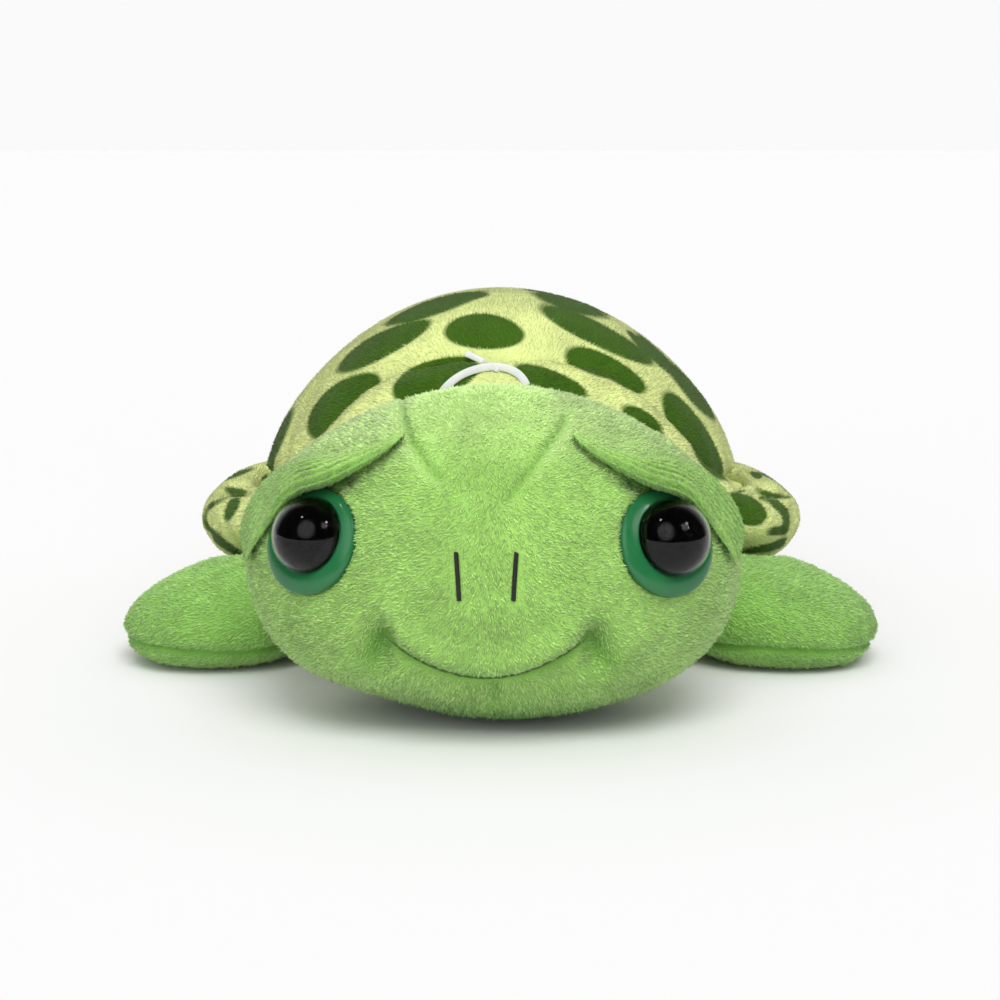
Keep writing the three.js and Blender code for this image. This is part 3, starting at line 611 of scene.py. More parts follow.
def printed_and_shaded(piece, ellipses, behind):
    """How much of each place the print and the shade painted in the print's colour cover, from 0 to 1, with edges that
    wander a little. The facing marks are cut off in depth a mark's length before and after the cover behind them."""
    places, normals = places_of(piece), normals_of(piece)
    cover = np.zeros(len(places))
    for order, (middle, long, across, half_length, half_width) in enumerate(ellipses):
        away = places - np.array(middle)
        u, v = away @ np.array(long) / half_length, away @ np.array(across) / half_width
        depth = away @ np.array(long.cross(across)) / half_length
        radius = np.sqrt(u * u + v * v + depth * depth * 0.5)
        turn = np.arctan2(v, u)
        shape = 1 + 0.07 * np.sin(2 * turn + order) + 0.05 * np.sin(3 * turn + 2.3 * order)
        cover = np.maximum(cover, np.clip(0.5 + (shape - radius) * half_width / (2.2 * mm), 0, 1))
    picture, to_camera = on_screen(places)
    faces = ease((np.sum(normals * to_camera, axis=1) + 0.22) / 0.2)
    surfaces = [surface_of(cloth) for cloth in behind]
    for order, (x, y, half_length, half_width, slope) in enumerate(FACING_SPOTS_AND_SHADE):
        hit = surface_behind(surfaces, x, y)
        if not hit:
            continue
        place, _, ray = hit
        depth = (places - np.array(place)) @ np.array(ray) / (1.25 * max(half_length, half_width) * PIXEL)
        cosine, sine = math.cos(math.radians(slope)), math.sin(math.radians(slope))
        away = picture - [x, y]
        u = (away[:, 0] * cosine + away[:, 1] * sine) / half_length
        v = (away[:, 1] * cosine - away[:, 0] * sine) / half_width
        radius = ((u * u + v * v) ** 2 + depth**4) ** 0.25
        turn = np.arctan2(v, u)
        shape = 1 + 0.05 * np.sin(2 * turn + 1.9 * order) + 0.04 * np.sin(3 * turn + order)
        cover = np.maximum(cover, faces * np.clip(0.5 + (shape - radius) * half_width / 5, 0, 1))
    for line, half_width in RIM_BORDERS_AND_SHADE:
        line = np.array(line, float)
        hits = [hit for hit in (surface_behind(surfaces, *place) for place in line) if hit]
        if not hits:
            continue
        depth = (places - np.mean([place for place, _, _ in hits], axis=0)) @ np.array(hits[0][2])
        near = (line_distance(picture, line) ** 4 + (half_width * depth / (7 * mm)) ** 4) ** 0.25
        cover = np.maximum(cover, faces * np.clip(0.5 + (half_width - near) / 4, 0, 1))
    return cover


UPWARD = Vector((0, 0, 1))
BACK_SPOTS = 64  # places tried over the whole dome, before those in view or too close are left out
SPOT_GAP = 16.5 * mm

dome_surface = surface_of(dome)
edge_spots = []
for px, py, half_length, half_width in EDGE_SPOTS:
    hit = surface_behind([dome_surface], px, py)
    if hit:
        place, normal, ray = hit
        long = normal.cross(ray).normalized()
        edge_spots.append((place, long, normal.cross(long), half_length * mm, half_width * mm))
taken = [spot[0] for spot in edge_spots]
for px, py, *_ in FACING_SPOTS_AND_SHADE:
    hit = surface_behind([dome_surface], px, py)
    if hit:
        taken.append(hit[0])
back_spots = []
for order in range(BACK_SPOTS):
    bearing = order * math.pi * (3 - math.sqrt(5))  # the golden angle spreads them evenly
    z = mix(DOME_TOP, SEAM_Z - 4 * mm, (order + 0.5) / BACK_SPOTS)
    here = Vector(body_point(np.array([bearing]), np.array([z]), 0)[0]) + in_row.translation
    away = (here.y - in_row.translation.y) / (BODY_BACK if here.y > in_row.translation.y else BODY_FRONT) ** 2
    out = Vector((here.x / BODY_SIDE**2, away, max(0.1 * mm, z - DOME_ROOT_Z) / (57 * mm) ** 2)).normalized()
    to_camera = camera.location - here
    if out.dot(to_camera) > -0.1 * to_camera.length or any((here - place).length < SPOT_GAP for place in taken):
        continue
    long = UPWARD.cross(out).normalized() if out.z < 0.98 else Vector((1, 0, 0))
    half_length = (8.4 + 1.6 * math.sin(5 * order)) * mm
    back_spots.append((here, long, out.cross(long), half_length, (7.2 + math.cos(3 * order)) * mm))

set_attribute(dome, "spot", printed_and_shaded(dome, edge_spots + back_spots, [dome]))
set_attribute(dome, "nap", tangent(np.tile([0.0, 1.0, -0.25], (len(dome.data.vertices), 1)), normals_of(dome)))
dome.data.materials.append(shell_plush)
dome_pile = grow_pile(
    dome, "shell_top_pile", shell_plush, tufts_per_square_metre=3.2e6, tuft_length=0.75 * mm,
    tuft_width=0.26 * mm, lean=1.9, clump_size=2 * mm, clumping=0.2, seed=3, keep=lambda p: p[:, 2] > SEAM_Z,
)
for piece in (dome, dome_pile):
    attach(piece, "shell")
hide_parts("shell_dome", "body_filling")

# ---------------------------------------------------------------------------------------------
# Padded rim: a tube of the same printed plush, stuffed softly and sewn round the shell's seam.
# It rises behind the head into a collar and gathers into folds beside the neck.
# ---------------------------------------------------------------------------------------------
RIM_REACH = 15.4 * mm  # how far the roll stands out from the body
RIM_SPOTS = 26
RIM_SPOTS_FROM = 18 * mm  # the spots further forward show in the picture, and are among the facing spots


def rim_rings(spare, arc, inward):
    """Sections of the roll round the body: an arc outside, larger by spare, and a wall inside."""
    rings = []
    for bearing in bearings:
        here, lift = np.array([bearing]), collar(bearing)
        height = mix(20.6 * mm, 18 * mm, lift) + 2 * spare
        top = seam_height(bearing) + mix(1.3, 3, lift) * mm + spare
        reach = RIM_REACH * mix(1, 0.82, lift) * (1 - 0.25 * bell(lift - 0.45, 0.35))
        ring = []
        for up in -np.cos(np.arange(arc + 1) / arc * math.pi):
            off = spare + reach * arch(up, mix(1.45, 2.2, lift))
            ring.append(body_point(here, np.array([top + height * (up - 1) / 2]), off)[0])
        ring += [body_point(here, np.array([top - height * t]), inward)[0] for t in (0, 0.33, 0.67, 1)]
        rings.append(ring)
    return rings


rim = ring_mesh("shell_rim_pad", rim_rings(-0.9 * mm, 16, -1 * mm), wrapped=True)


def rim_held(p):
    wall = body_point(bearing_of(p), p[:, 2], 0)
    stand = np.hypot(p[:, 0], p[:, 1]) - np.hypot(wall[:, 0], wall[:, 1])
    return 1 - ease(stand / (3 * mm))


stuff(rim, rim_held, cap=1.2 * mm, voxel=3.6 * mm)


def rim_folds(p, n):
    bearing = bearing_of(p)
    aside = np.abs(np.abs(bearing + QUARTER) - math.radians(62))
    gathers = np.sin(p[:, 2] / (1.9 * mm) + 2 * np.sin(bearing * 5)) * bell(aside, math.radians(16))
    return 0.55 * mm * gathers + 0.5 * mm * ripple(p, 8 * mm, 5)


press(rim, rim_folds)
rim.data.transform(in_row)

# One deep fold on each side of the neck, from x to x at a height in the picture
DEEP_FOLDS = ((223, 246, 492.5), (756, 784, 494.5))
picture, to_camera = on_screen(places_of(rim))
fold = np.full(len(picture), np.inf)
for left, right, level in DEEP_FOLDS:
    beside = np.maximum(0, np.abs(picture[:, 0] - (left + right) / 2) - (right - left) / 2)
    fold = np.minimum(fold, np.hypot(beside, picture[:, 1] - level))
facing_camera = ease(np.sum(normals_of(rim) * to_camera, axis=1) / 0.2)
press(rim, lambda p, n: facing_camera * (-3.2 * mm * bell(fold, 4) + 0.7 * mm * bell(fold - 9, 5)))

rim_spots = []
for order in range(RIM_SPOTS):
    bearing = np.array([math.radians(-58 + 296 * (order + 0.5) / RIM_SPOTS)])
    z = np.array([(30 if order % 2 else 19) * mm])
    here = Vector(body_point(bearing, z, 10 * mm)[0]) + in_row.translation
    if here.y < RIM_SPOTS_FROM:
        continue
    out = Vector((math.cos(bearing[0]), math.sin(bearing[0]), 0.25 if order % 2 else -0.35)).normalized()
    long = UPWARD.cross(out).normalized()
    rim_spots.append((here, long, out.cross(long), (7 + 1.6 * math.sin(4 * order)) * mm, 5.2 * mm))
set_attribute(rim, "spot", printed_and_shaded(rim, rim_spots, [rim, dome]))
rim_places = places_of(rim)
around = np.stack([-(rim_places[:, 1] - in_row.translation.y), rim_places[:, 0], 0 * rim_places[:, 0]], -1)
set_attribute(rim, "nap", tangent(around * np.sign(rim_places[:, :1] + 1e-9), normals_of(rim)))
rim.data.materials.append(shell_plush)
rim_pile = grow_pile(
    rim, "shell_rim_pile", shell_plush, tufts_per_square_metre=3.0e6, tuft_length=0.75 * mm, tuft_width=0.26 * mm,
    lean=1.9, clump_size=2 * mm, clumping=0.2, seed=5,
)
for piece in (rim, rim_pile):
    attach(piece, "shell")
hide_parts("shell_rim")

# ---------------------------------------------------------------------------------------------
# Belly: a plain panel of the shell's plush that closes the body below the rim. The fibre inside
# presses it flat where the toy lies on it.
# ---------------------------------------------------------------------------------------------
def bowl_rings(off, count):
    rings = []
    for t in np.arange(count + 1) / count:
        climb = 1 - math.cos(2 * t * QUARTER) if t < 0.5 else 2 * t
        knee = mix(-off, BOWL_TOP_Z / 2, min(1, climb))
        z = np.full(len(bearings), knee) if t < 0.5 else mix(knee, seam_height(bearings) - 1 * mm, climb - 1)
        rings.append(body_point(bearings, z, off))
    return rings


belly_rings = bowl_rings(-0.8 * mm, 20)
belly_floor = [mix(np.array([0, 0, 0.8 * mm]), belly_rings[0], t) for t in (0.25, 0.5, 0.75)]
belly_lid = [mix(belly_rings[-1], np.array([0, 0, SEAM_Z - 2 * mm]), t) for t in (0.25, 0.5, 0.75)]
belly = ring_mesh(
    "belly_panel", [[(0, 0, 0.8 * mm)], *belly_floor, *belly_rings, *belly_lid, [(0, 0, SEAM_Z - 2 * mm)]]
)


def belly_held(p):
    rim_foot = seam_height(bearing_of(p)) - 14 * mm
    return np.maximum(1 - ease(p[:, 2] / (4 * mm)), ease((p[:, 2] - rim_foot) / (6 * mm)))


stuff(belly, belly_held, cap=0.7 * mm, voxel=4 * mm)
lowest = places_of(belly)
lowest[:, 2] = np.maximum(lowest[:, 2], 0.3 * mm)
move_points(belly, lowest)
belly.data.transform(in_row)
set_attribute(belly, "nap", tangent(np.tile([0.0, 1.0, 0.0], (len(belly.data.vertices), 1)), normals_of(belly)))
belly.data.materials.append(shell_plush)
belly_pile = grow_pile(
    belly, "belly_pile", shell_plush, tufts_per_square_metre=2.0e6, tuft_length=1.1 * mm, tuft_width=0.45 * mm,
    lean=1.2, clump_size=2.5 * mm, clumping=0.25, seed=7, keep=lambda p: (p[:, 2] > 1.5 * mm) & (p[:, 2] < 30 * mm),
)
for piece in (belly, belly_pile):
    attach(piece, "shell")
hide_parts("belly_cover")

# ---------------------------------------------------------------------------------------------
# Head: longer-piled green plush, sewn from two cheeks, a chin and a tapered crown panel that ends
# in a V above the nose, and stuffed. The smile is a line of stitches pulled in, with a dimple at
# each end, and the fabric dips round each eye.
# ---------------------------------------------------------------------------------------------
HEAD_Y = -92 * mm
HEAD_Z = 33 * mm
HEAD_SIDE = 49 * mm
HEAD_FRONT = 36 * mm
HEAD_BACK = 33 * mm
HEAD_UP = 32.8 * mm
HEAD_DOWN = 33.4 * mm
CROWN_POWER, JAW_POWER, NOSE_POWER, NAPE_POWER = 1.85, 2.3, 2.3, 2.0
NECK_MIDDLE = Vector((0, -BODY_FRONT, neck.z))
NECK_RADIUS = 19 * mm
head_turn = math.atan2(nod["axis"][1], nod["axis"][0])
head_in_row = Matrix.Translation(neck) @ Matrix.Rotation(head_turn, 4, "Z") @ Matrix.Translation(-NECK_MIDDLE)


def signed_power(value, power):
    return np.sign(value) * np.abs(value) ** power


def head_ring(reach, off, turns):
    up = np.sin(turns) > 0
    power = np.where(up, 2 / CROWN_POWER, 2 / JAW_POWER)
    tall = np.where(up, HEAD_UP, HEAD_DOWN) + off
    scale = arch(reach, NOSE_POWER if reach < 0 else NAPE_POWER)
    x = (HEAD_SIDE + off) * scale * signed_power(np.cos(turns), power)
    z = HEAD_Z + tall * scale * signed_power(np.sin(turns), power)
    y = HEAD_Y + reach * ((HEAD_FRONT if reach < 0 else HEAD_BACK) + off)
    return np.stack([x, np.full(len(turns), y), np.maximum(z, 0.6 * mm)], -1)


def face_point(x, z):
    """The face's surface in front of places given by their side and height."""
    up = z > HEAD_Z
    power = np.where(up, CROWN_POWER, JAW_POWER)
    tall = np.where(up, HEAD_UP, HEAD_DOWN)
    scale = (np.abs(x / HEAD_SIDE) ** power + np.abs((z - HEAD_Z) / tall) ** power) ** (1 / power)
    return np.stack([x, HEAD_Y - HEAD_FRONT * arch(np.minimum(scale, 1), NOSE_POWER), z], -1)


def face_normal(x, z):
    step = 0.5 * mm
    across = face_point(x + step, z) - face_point(x - step, z)
    upward = face_point(x, z + step) - face_point(x, z - step)
    normal = np.cross(across, upward)
    return normal / np.linalg.norm(normal, axis=-1, keepdims=True)


def eye_axis(side):
    out, up = math.radians(34), math.radians(19)
    return np.array([side * math.sin(out) * math.cos(up), -math.cos(out) * math.cos(up), math.sin(up)])


EYE_RADIUS = 10.1 * mm
SIDES = {"left": 1, "right": -1}
eye_seats = {
    side: face_point(np.array(side * 34 * mm), np.array(39.5 * mm)) - 3.2 * mm * eye_axis(side)
    for side in SIDES.values()
}

turns = full_turn(112)
reaches = [-math.cos(t * math.pi) for t in np.arange(1, 56) / 56]
nose, nape = (0, HEAD_Y - HEAD_FRONT + CLOSE, HEAD_Z), (0, HEAD_Y + HEAD_BACK - CLOSE, HEAD_Z)
head = ring_mesh("head_cover_plush", [[nose], *[head_ring(r, -CLOSE, turns) for r in reaches], [nape]])
neck_ball = bmesh.new()
neck_ball.from_mesh(head.data)
bmesh.ops.create_uvsphere(
    neck_ball, u_segments=48, v_segments=32, radius=NECK_RADIUS - 0.4 * mm, matrix=Matrix.Translation(NECK_MIDDLE)
)
neck_ball.to_mesh(head.data)
neck_ball.free()

# Lines on the face, as (x, z) places in millimetres
MOUTH = [
    (-19, 22), (-14.5, 18.3), (-9.5, 15.6), (-4.5, 14), (0.3, 13.6), (5, 14.3), (9.5, 16), (14.5, 18.8), (18.5, 21.8),
]
LEFT_DART = [(-17, 61), (-14.2, 56.6), (-11.1, 53), (-9.2, 51.3)]
RIGHT_DART = [(14, 60), (10.2, 55.5), (7.5, 52), (3.8, 47.9)]
CHIN_CREASE = [(1, 13), (1.4, 10), (0.8, 7.5)]
NOSTRIL = [(4.95, 29.8), (5.2, 34.2), (5.5, 38.5)]
UNDER_BROW = [(26.5, 50.2), (30, 48.3), (34, 46.2)]


def on_side(line, side):
    return [(side * x, z) for x, z in line]


def distance_to_line(p, line):
    """Distance in the face's upright plane to a line of (x, z) places in millimetres."""
    return line_distance(p[:, [0, 2]], np.array(line) * mm)


def in_front(p):
    return ease((HEAD_Y + 6 * mm - p[:, 1]) / (10 * mm))


def head_held(p):
    lower = 1 - ease(p[:, 2] / (2.5 * mm))
    stub = ease((p[:, 1] + 66 * mm) / (5 * mm))
    smile = bell(distance_to_line(p, MOUTH), 2.5 * mm) * in_front(p)
    darts = np.maximum(bell(distance_to_line(p, LEFT_DART), 2 * mm), bell(distance_to_line(p, RIGHT_DART), 2 * mm))
    return np.maximum.reduce([lower, stub, smile, darts * in_front(p) * 0.9])


stuff(head, head_held, cap=1.6 * mm, voxel=3.2 * mm)


def face_shape(p, n):
    """What the needle does to the stuffed face: the smile and its dimples, the darts, the chin."""
    front = in_front(p)
    x, z = p[:, 0], p[:, 2]
    smile = distance_to_line(p, MOUTH)
    curve = 13.7 * mm + 8.3 * mm * (np.minimum(np.abs(x), 19 * mm) / (19 * mm)) ** 2
    above = z - curve
    within = ease((20 * mm - np.abs(x)) / (6 * mm))
    move = -1.9 * mm * bell(smile, 1.3 * mm)
    move += 1.7 * mm * bell(above - 3.6 * mm, 3.2 * mm) * within
    move -= 1.2 * mm * bell(above + 3.2 * mm, 3.2 * mm) * within
    for side in SIDES.values():
        move -= 1.6 * mm * bell(distance_to_line(p, on_side(UNDER_BROW, side)), 1.5 * mm)
        aside = np.hypot(x - side * 20.2 * mm, (z - 19.6 * mm) / 1.8)
        move -= 5.2 * mm * bell(aside, 2.5 * mm)
        move += 1.1 * mm * bell(np.hypot(x - side * 26 * mm, z - 20 * mm), 4.5 * mm)
    for dart in (LEFT_DART, RIGHT_DART):
        move -= 0.8 * mm * bell(distance_to_line(p, dart), 1.1 * mm)
    move -= 0.9 * mm * bell(distance_to_line(p, CHIN_CREASE), 1.2 * mm)
    return front * move + 0.3 * mm * ripple(p, 9 * mm, 1)


press(head, face_shape)

# The fabric is drawn in round each eye, down to the flat back of its base
places = places_of(head)
for side in SIDES.values():
    axis = eye_axis(side)
    away = places - eye_seats[side]
    rise = away @ axis
    spread = np.linalg.norm(away - rise[:, None] * axis, axis=1)
    near = (rise > -14 * mm) & (spread < 22 * mm)
    lap = 1.9 * mm * ease((spread - EYE_RADIUS + 0.8 * mm) / (1.4 * mm))
    floor_level = -0.5 * mm + lap + 4.5 * mm * ease((spread - EYE_RADIUS) / (5 * mm))
    sunk = np.minimum(rise, floor_level)
    places = np.where(near[:, None], places + (sunk - rise)[:, None] * axis, places)
chin_lift = (0.6 * mm + 1.5 * mm * bell(places[:, 0] + 20 * mm, 13 * mm)) * in_front(places)
places[:, 2] = np.maximum(places[:, 2] + chin_lift * ease((18 * mm - places[:, 2]) / (12 * mm)), 0.35 * mm)
move_points(head, places)


def head_nap(p):
    """Which way the pile lies: up the crown panel, outwards over the cheeks, down the chin."""
    x, z = p[:, 0], p[:, 2]
    panel = ease((11 * mm - np.abs(x + 2 * mm) + 0.35 * (z - 50 * mm)) / (4 * mm)) * ease((z - 46 * mm) / (5 * mm))
    chin = ease((17 * mm - z) / (8 * mm))
    aside = np.minimum(1, np.abs(x) / (20 * mm))
    cheek = np.stack([np.clip(x / (13 * mm), -1, 1), 0 * x + 0.1, -0.75 + 0.55 * aside], -1)
    crown = np.tile([0.05, -0.35, -1.0], (len(p), 1))
    under = np.stack([0.3 * np.sign(x), 0 * x, -1 + 0 * x], -1)
    out = cheek * (1 - panel)[:, None] + crown * panel[:, None]
    return out * (1 - chin)[:, None] + under * chin[:, None]


set_attribute(head, "nap", tangent(head_nap(places_of(head)), normals_of(head)))
drawn_in = [(MOUTH, 0.85, 1.0), (LEFT_DART, 0.4, 0.8), (RIGHT_DART, 0.4, 0.8)]
drawn_in += [(on_side(NOSTRIL, side), 0.9, 0.9) for side in SIDES.values()]
places = places_of(head)
trims = [share * bell(distance_to_line(places, line), wide * mm) for line, share, wide in drawn_in]
set_attribute(head, "trim", np.maximum.reduce(trims) * in_front(places))


def face_painted_shade(p):
    """Painted shade: darker in the smile, the dimples, the gap under each brow, the darts, the chin crease, and along
    the bottom of the head near the floor.
    """
    dark = 0.5 * bell(distance_to_line(p, MOUTH), 1.1 * mm)
    for side in SIDES.values():
        below = np.maximum(0, 20 * mm - p[:, 2])
        aside = np.hypot(
            (p[:, 0] - side * (20.4 * mm + 0.2 * below)) / (1 + below / (5 * mm)), (p[:, 2] - 19.2 * mm) / 1.9
        )
        gap = distance_to_line(p, [(side * u, v) for u, v in UNDER_BROW])
        dark = np.maximum.reduce([dark, 0.7 * bell(aside, 2.2 * mm), 1.0 * bell(gap, 1.3 * mm)])
    for dart in (LEFT_DART, RIGHT_DART):
        dark = np.maximum(dark, 0.25 * bell(distance_to_line(p, dart), 1.1 * mm))
    dark = np.maximum(dark, 0.35 * bell(distance_to_line(p, CHIN_CREASE), 1.1 * mm))
    return np.maximum(dark * in_front(p), 0.9 * ease((9 * mm - p[:, 2]) / (6 * mm)))


set_attribute(head, "crease", face_painted_shade(places_of(head)))
# Painted light: where the head faces upwards its pile is painted paler, as if lit from above
set_attribute(head, "painted_top_light", 0.5 * ease((normals_of(head)[:, 2] - 0.55) / 0.4))
head.data.transform(head_in_row)
layer = head.data.attributes["nap"].data
for_turn = np.empty(len(layer) * 3, np.float32)
layer.foreach_get("vector", for_turn)
layer.foreach_set("vector", (for_turn.reshape(-1, 3) @ np.array(head_in_row.to_3x3()).T).astype(np.float32).ravel())
# The second pair of colours is a paler copy of the green, painted as light where the pile faces upwards
green_plush = plush_material(
    "green_plush", (0.325, 0.585, 0.128), (0.635, 0.9, 0.355), (0.58, 0.78, 0.3), (0.86, 0.98, 0.56),
    mask="painted_top_light", edge=(0, 1), sheen=0.25,
)
head.data.materials.append(green_plush)


def clear_of_eyes(p):
    away_from = np.ones(len(p), bool)
    for side in SIDES.values():
        axis = np.array(head_in_row.to_3x3() @ Vector(eye_axis(side)))
        away = p - np.array(head_in_row @ Vector(eye_seats[side]))
        spread = np.linalg.norm(away - (away @ axis)[:, None] * axis, axis=1)
        away_from &= (spread > EYE_RADIUS - 0.6 * mm) | (np.abs(away @ axis) > 15 * mm)
    return away_from & (p[:, 1] < neck.y - 4 * mm)


head_piles = [
    grow_pile(
        head, f"head_pile_{name}", green_plush, tufts_per_square_metre=4.6e6, tuft_length=0.95 * mm,
        tuft_width=0.38 * mm, lean=1.4, clump_size=1.2 * mm, clumping=1.2, seed=11 + side,
        keep=lambda p: clear_of_eyes(p) & (side * p[:, 0] >= -0.5 * mm),
    )
    for name, side in SIDES.items()
]
for piece in (head, *head_piles):
    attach(piece, "head")
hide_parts("head_cover", "head_filling")

# ---------------------------------------------------------------------------------------------
# Brows: a tuck of the head's plush over each eye, rolled under and stitched down at both ends.
# It hangs a little over the eye, and fine pleats run along it to its inner end.
# ---------------------------------------------------------------------------------------------
BROW_EDGE = [
    (15.5, 58.5), (20.5, 54.8), (26.5, 51), (30, 49.4), (33, 48.4), (36.5, 46.7), (40, 43.9), (43, 40.4), (45.3, 36.6),
    (46.6, 33),
]
PLEAT = 1.5  # millimetres from one pleat to the next


def run_of(line):
    """How far along a line each of its points is."""
    return np.concatenate([[0], np.cumsum(np.linalg.norm(np.diff(line, axis=0), axis=1))])


def point_at(line, run, at):
    return np.stack([np.interp(at, run, line[:, k]) for k in range(line.shape[1])], -1)


def smooth_line(points, count):
    """A smooth line through points, evenly stepped."""
    points = np.array(points, float)
    padded = np.vstack([2 * points[0] - points[1], points, 2 * points[-1] - points[-2]])
    fine = []
    for i in range(len(points) - 1):
        a, b, c, d = padded[i : i + 4]
        for t in np.arange(16) / 16:
            bent = 2 * b + (c - a) * t + (2 * a - 5 * b + 4 * c - d) * t**2 + (3 * b - a - 3 * c + d) * t**3
            fine.append(0.5 * bent)
    fine = np.array(fine + [points[-1]])
    run = run_of(fine)
    return point_at(fine, run, np.linspace(0, run[-1], count))


def brow(side):
    """The rolled tuck over one eye, with its pleats, and the way its pile lies."""
    line = smooth_line(on_side(BROW_EDGE, side), 72) * mm
    x, z = line.T
    edge, normal = face_point(x, z), face_normal(x, z)
    along = np.gradient(edge, axis=0)
    along /= np.linalg.norm(along, axis=1, keepdims=True)
    upward = np.cross(along, normal) * -side
    upward *= np.sign(upward[:, 2:3])
    rings = []
    for i in range(1, len(line) - 1):
        t = i / (len(line) - 1)
        full = arch(2 * t - 1, 2.4)
        wide = mix(2.8, 11.5, ease(t / 0.75)) * full**0.5
        # across the tuck, from its upper edge over the lip to the stitched crease below it
        profile = [
            (wide, -1.6), (0.85 * wide, -0.4), (0.66 * wide, 1.3), (0.42 * wide, 2.9), (0.18 * wide, 4.0),
            (-0.4, 4.5), (-2.0, 4.2), (-2.8, 3.3), (-2.3, 2.3), (-0.6, 1.7), (0.8, 0.9), (1.3, -0.8),
            (2.2, -2.4), (0.6 * wide, -3),
        ]
        ring = []
        for across, outward in smooth_line(profile + profile[:1], 73)[:-1]:
            pleats = 0.6 * math.sin(across * 2 * math.pi / PLEAT + 2.5 * t) * min(1, max(0, outward + 0.6) / 2.5)
            pleats *= mix(1, 0.3, ease((t - 0.6) / 0.3))
            stand = full**0.5 * mix(0.35, 1, ease(t / 0.4)) * mix(1, 0.12, ease((t - 0.42) / 0.4))
            rise = (outward + pleats) * stand if outward > -1 else outward * full**0.3
            over = across * full if across < 0 else across
            ring.append(edge[i] + upward[i] * over * mm + normal[i] * rise * mm)
        rings.append(ring)
    piece = ring_mesh("brow", [[edge[0]], *rings, [edge[-1]]])
    smooth_over(piece, 1)
    press(piece, lambda p, n: 0.2 * mm * ripple(p, 5 * mm, 4))
    places, normals = places_of(piece), normals_of(piece)
    near = np.argmin(np.linalg.norm(places[:, None, :] - edge[None, ::2], axis=2), axis=1) * 2
    across = np.sum((places - edge[near]) * upward[near], axis=1) / mm
    valley = 0.5 - 0.5 * np.sin(across * 2 * math.pi / PLEAT + 2.5 * near / len(line))
    # Painted shade in the valleys of the pleats and under the lip of the tuck
    set_attribute(piece, "crease", 0.6 * valley * ease((across + 1) / 2) + 0.5 * ease((-0.6 - across) / 1.5))
    # Painted light: the brow's upward faces are painted paler
    set_attribute(piece, "painted_top_light", 0.32 * np.clip(normals[:, 2], 0, 1))
    lie = along[near] * 0.8 + np.array([0, 0, -0.3])
    set_attribute(piece, "nap", tangent(lie, normals) @ np.array(head_in_row.to_3x3()).T)
    piece.data.transform(head_in_row)
    return piece


for name, side in SIDES.items():
    fold = brow(side)
    fold.name = f"{name}_brow_fold"
    fold.data.materials.append(green_plush)
    fold_pile = grow_pile(
        fold, f"{name}_brow_pile", green_plush, tufts_per_square_metre=5.5e6, tuft_length=0.65 * mm,
        tuft_width=0.26 * mm, lean=1.9, clump_size=2 * mm, clumping=0.3, seed=13 + side,
    )
    for piece in (fold, fold_pile):
        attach(piece, "head")
    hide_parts(f"{name}_brow")

# ---------------------------------------------------------------------------------------------
# Safety eyes: a green glossy base on a ribbed shank that goes through the fabric, a black domed
# pupil and a clear shell over it. The slotted washer behind the fabric is the CAD node.
# ---------------------------------------------------------------------------------------------
PUPIL_RADIUS = 7.1 * mm
PUPIL_FOOT = 2.3 * mm
PUPIL_RISE = 6.6 * mm
LENS_RADIUS = 7.4 * mm
EYE_EDGE = 1.2 * mm
EYE_RISE = 1.9 * mm
EYE_FLAT = 7 * mm  # radius of the flat on which the pupil sits
PUPIL_UP, PUPIL_ASIDE = 0.75 * mm, 0.45 * mm  # how far off the middle of its base each pupil sits


def plastic(name, colour, roughness, bend=1.49, clear=0.0, grain=0.0):
    """Moulded plastic, mottled by its grain. Its gloss is uneven too, unless it is polished, with no roughness."""
    material, tree, shader = new_material(name)
    wear = noise(tree, new_node(tree, "ShaderNodeTexCoord", out="Object"), 260, 4)
    gloss = ramp(tree, wear, 0, 1, roughness * 0.6, roughness * 1.4) if roughness else 0
    if clear:
        tone = (*colour, 1)
    else:
        tone = blended(tree, wear, *(tuple(min(1, c * share) for c in colour) for share in (1 - grain, 1 + grain)))
    give(tree, shader, {"Base Color": tone, "Roughness": gloss, "IOR": bend, "Transmission Weight": clear})
    return material


def lathe(name, profile, base, axis, segments=96):
    """A form turned round an axis from (radius, height) places, seen outside on their left."""
    turn = Vector((0, 0, 1)).rotation_difference(Vector(axis)).to_matrix().to_4x4()
    rings = []
    for radius, height in profile:
        if radius < 1e-6:
            rings.append([(0, 0, height)])
        else:
            rings.append([(radius * math.cos(a), radius * math.sin(a), height) for a in full_turn(segments)])
    piece = ring_mesh(name, rings)
    piece.data.transform(head_in_row @ Matrix.Translation(Vector(base)) @ turn)
    piece.data.shade_smooth()
    return piece


def dome_profile(radius, low, rise, count=20):
    return [(radius * math.cos(t * QUARTER), low + rise * math.sin(t * QUARTER)) for t in np.arange(count + 1) / count]


green_gloss = plastic("eye_green_gloss", (0.013, 0.12, 0.038), 0.2, grain=0.12)
black_gloss = plastic("eye_black_gloss", (0.002, 0.002, 0.002), 0, bend=1.36, grain=0.4)
clear_shell = plastic("eye_clear_shell", (1.0, 1.0, 1.0), 0.0, bend=1.04, clear=1.0)
washer_plastic = plastic("washer_plastic", (0.8, 0.82, 0.8), 0.4, grain=0.05)

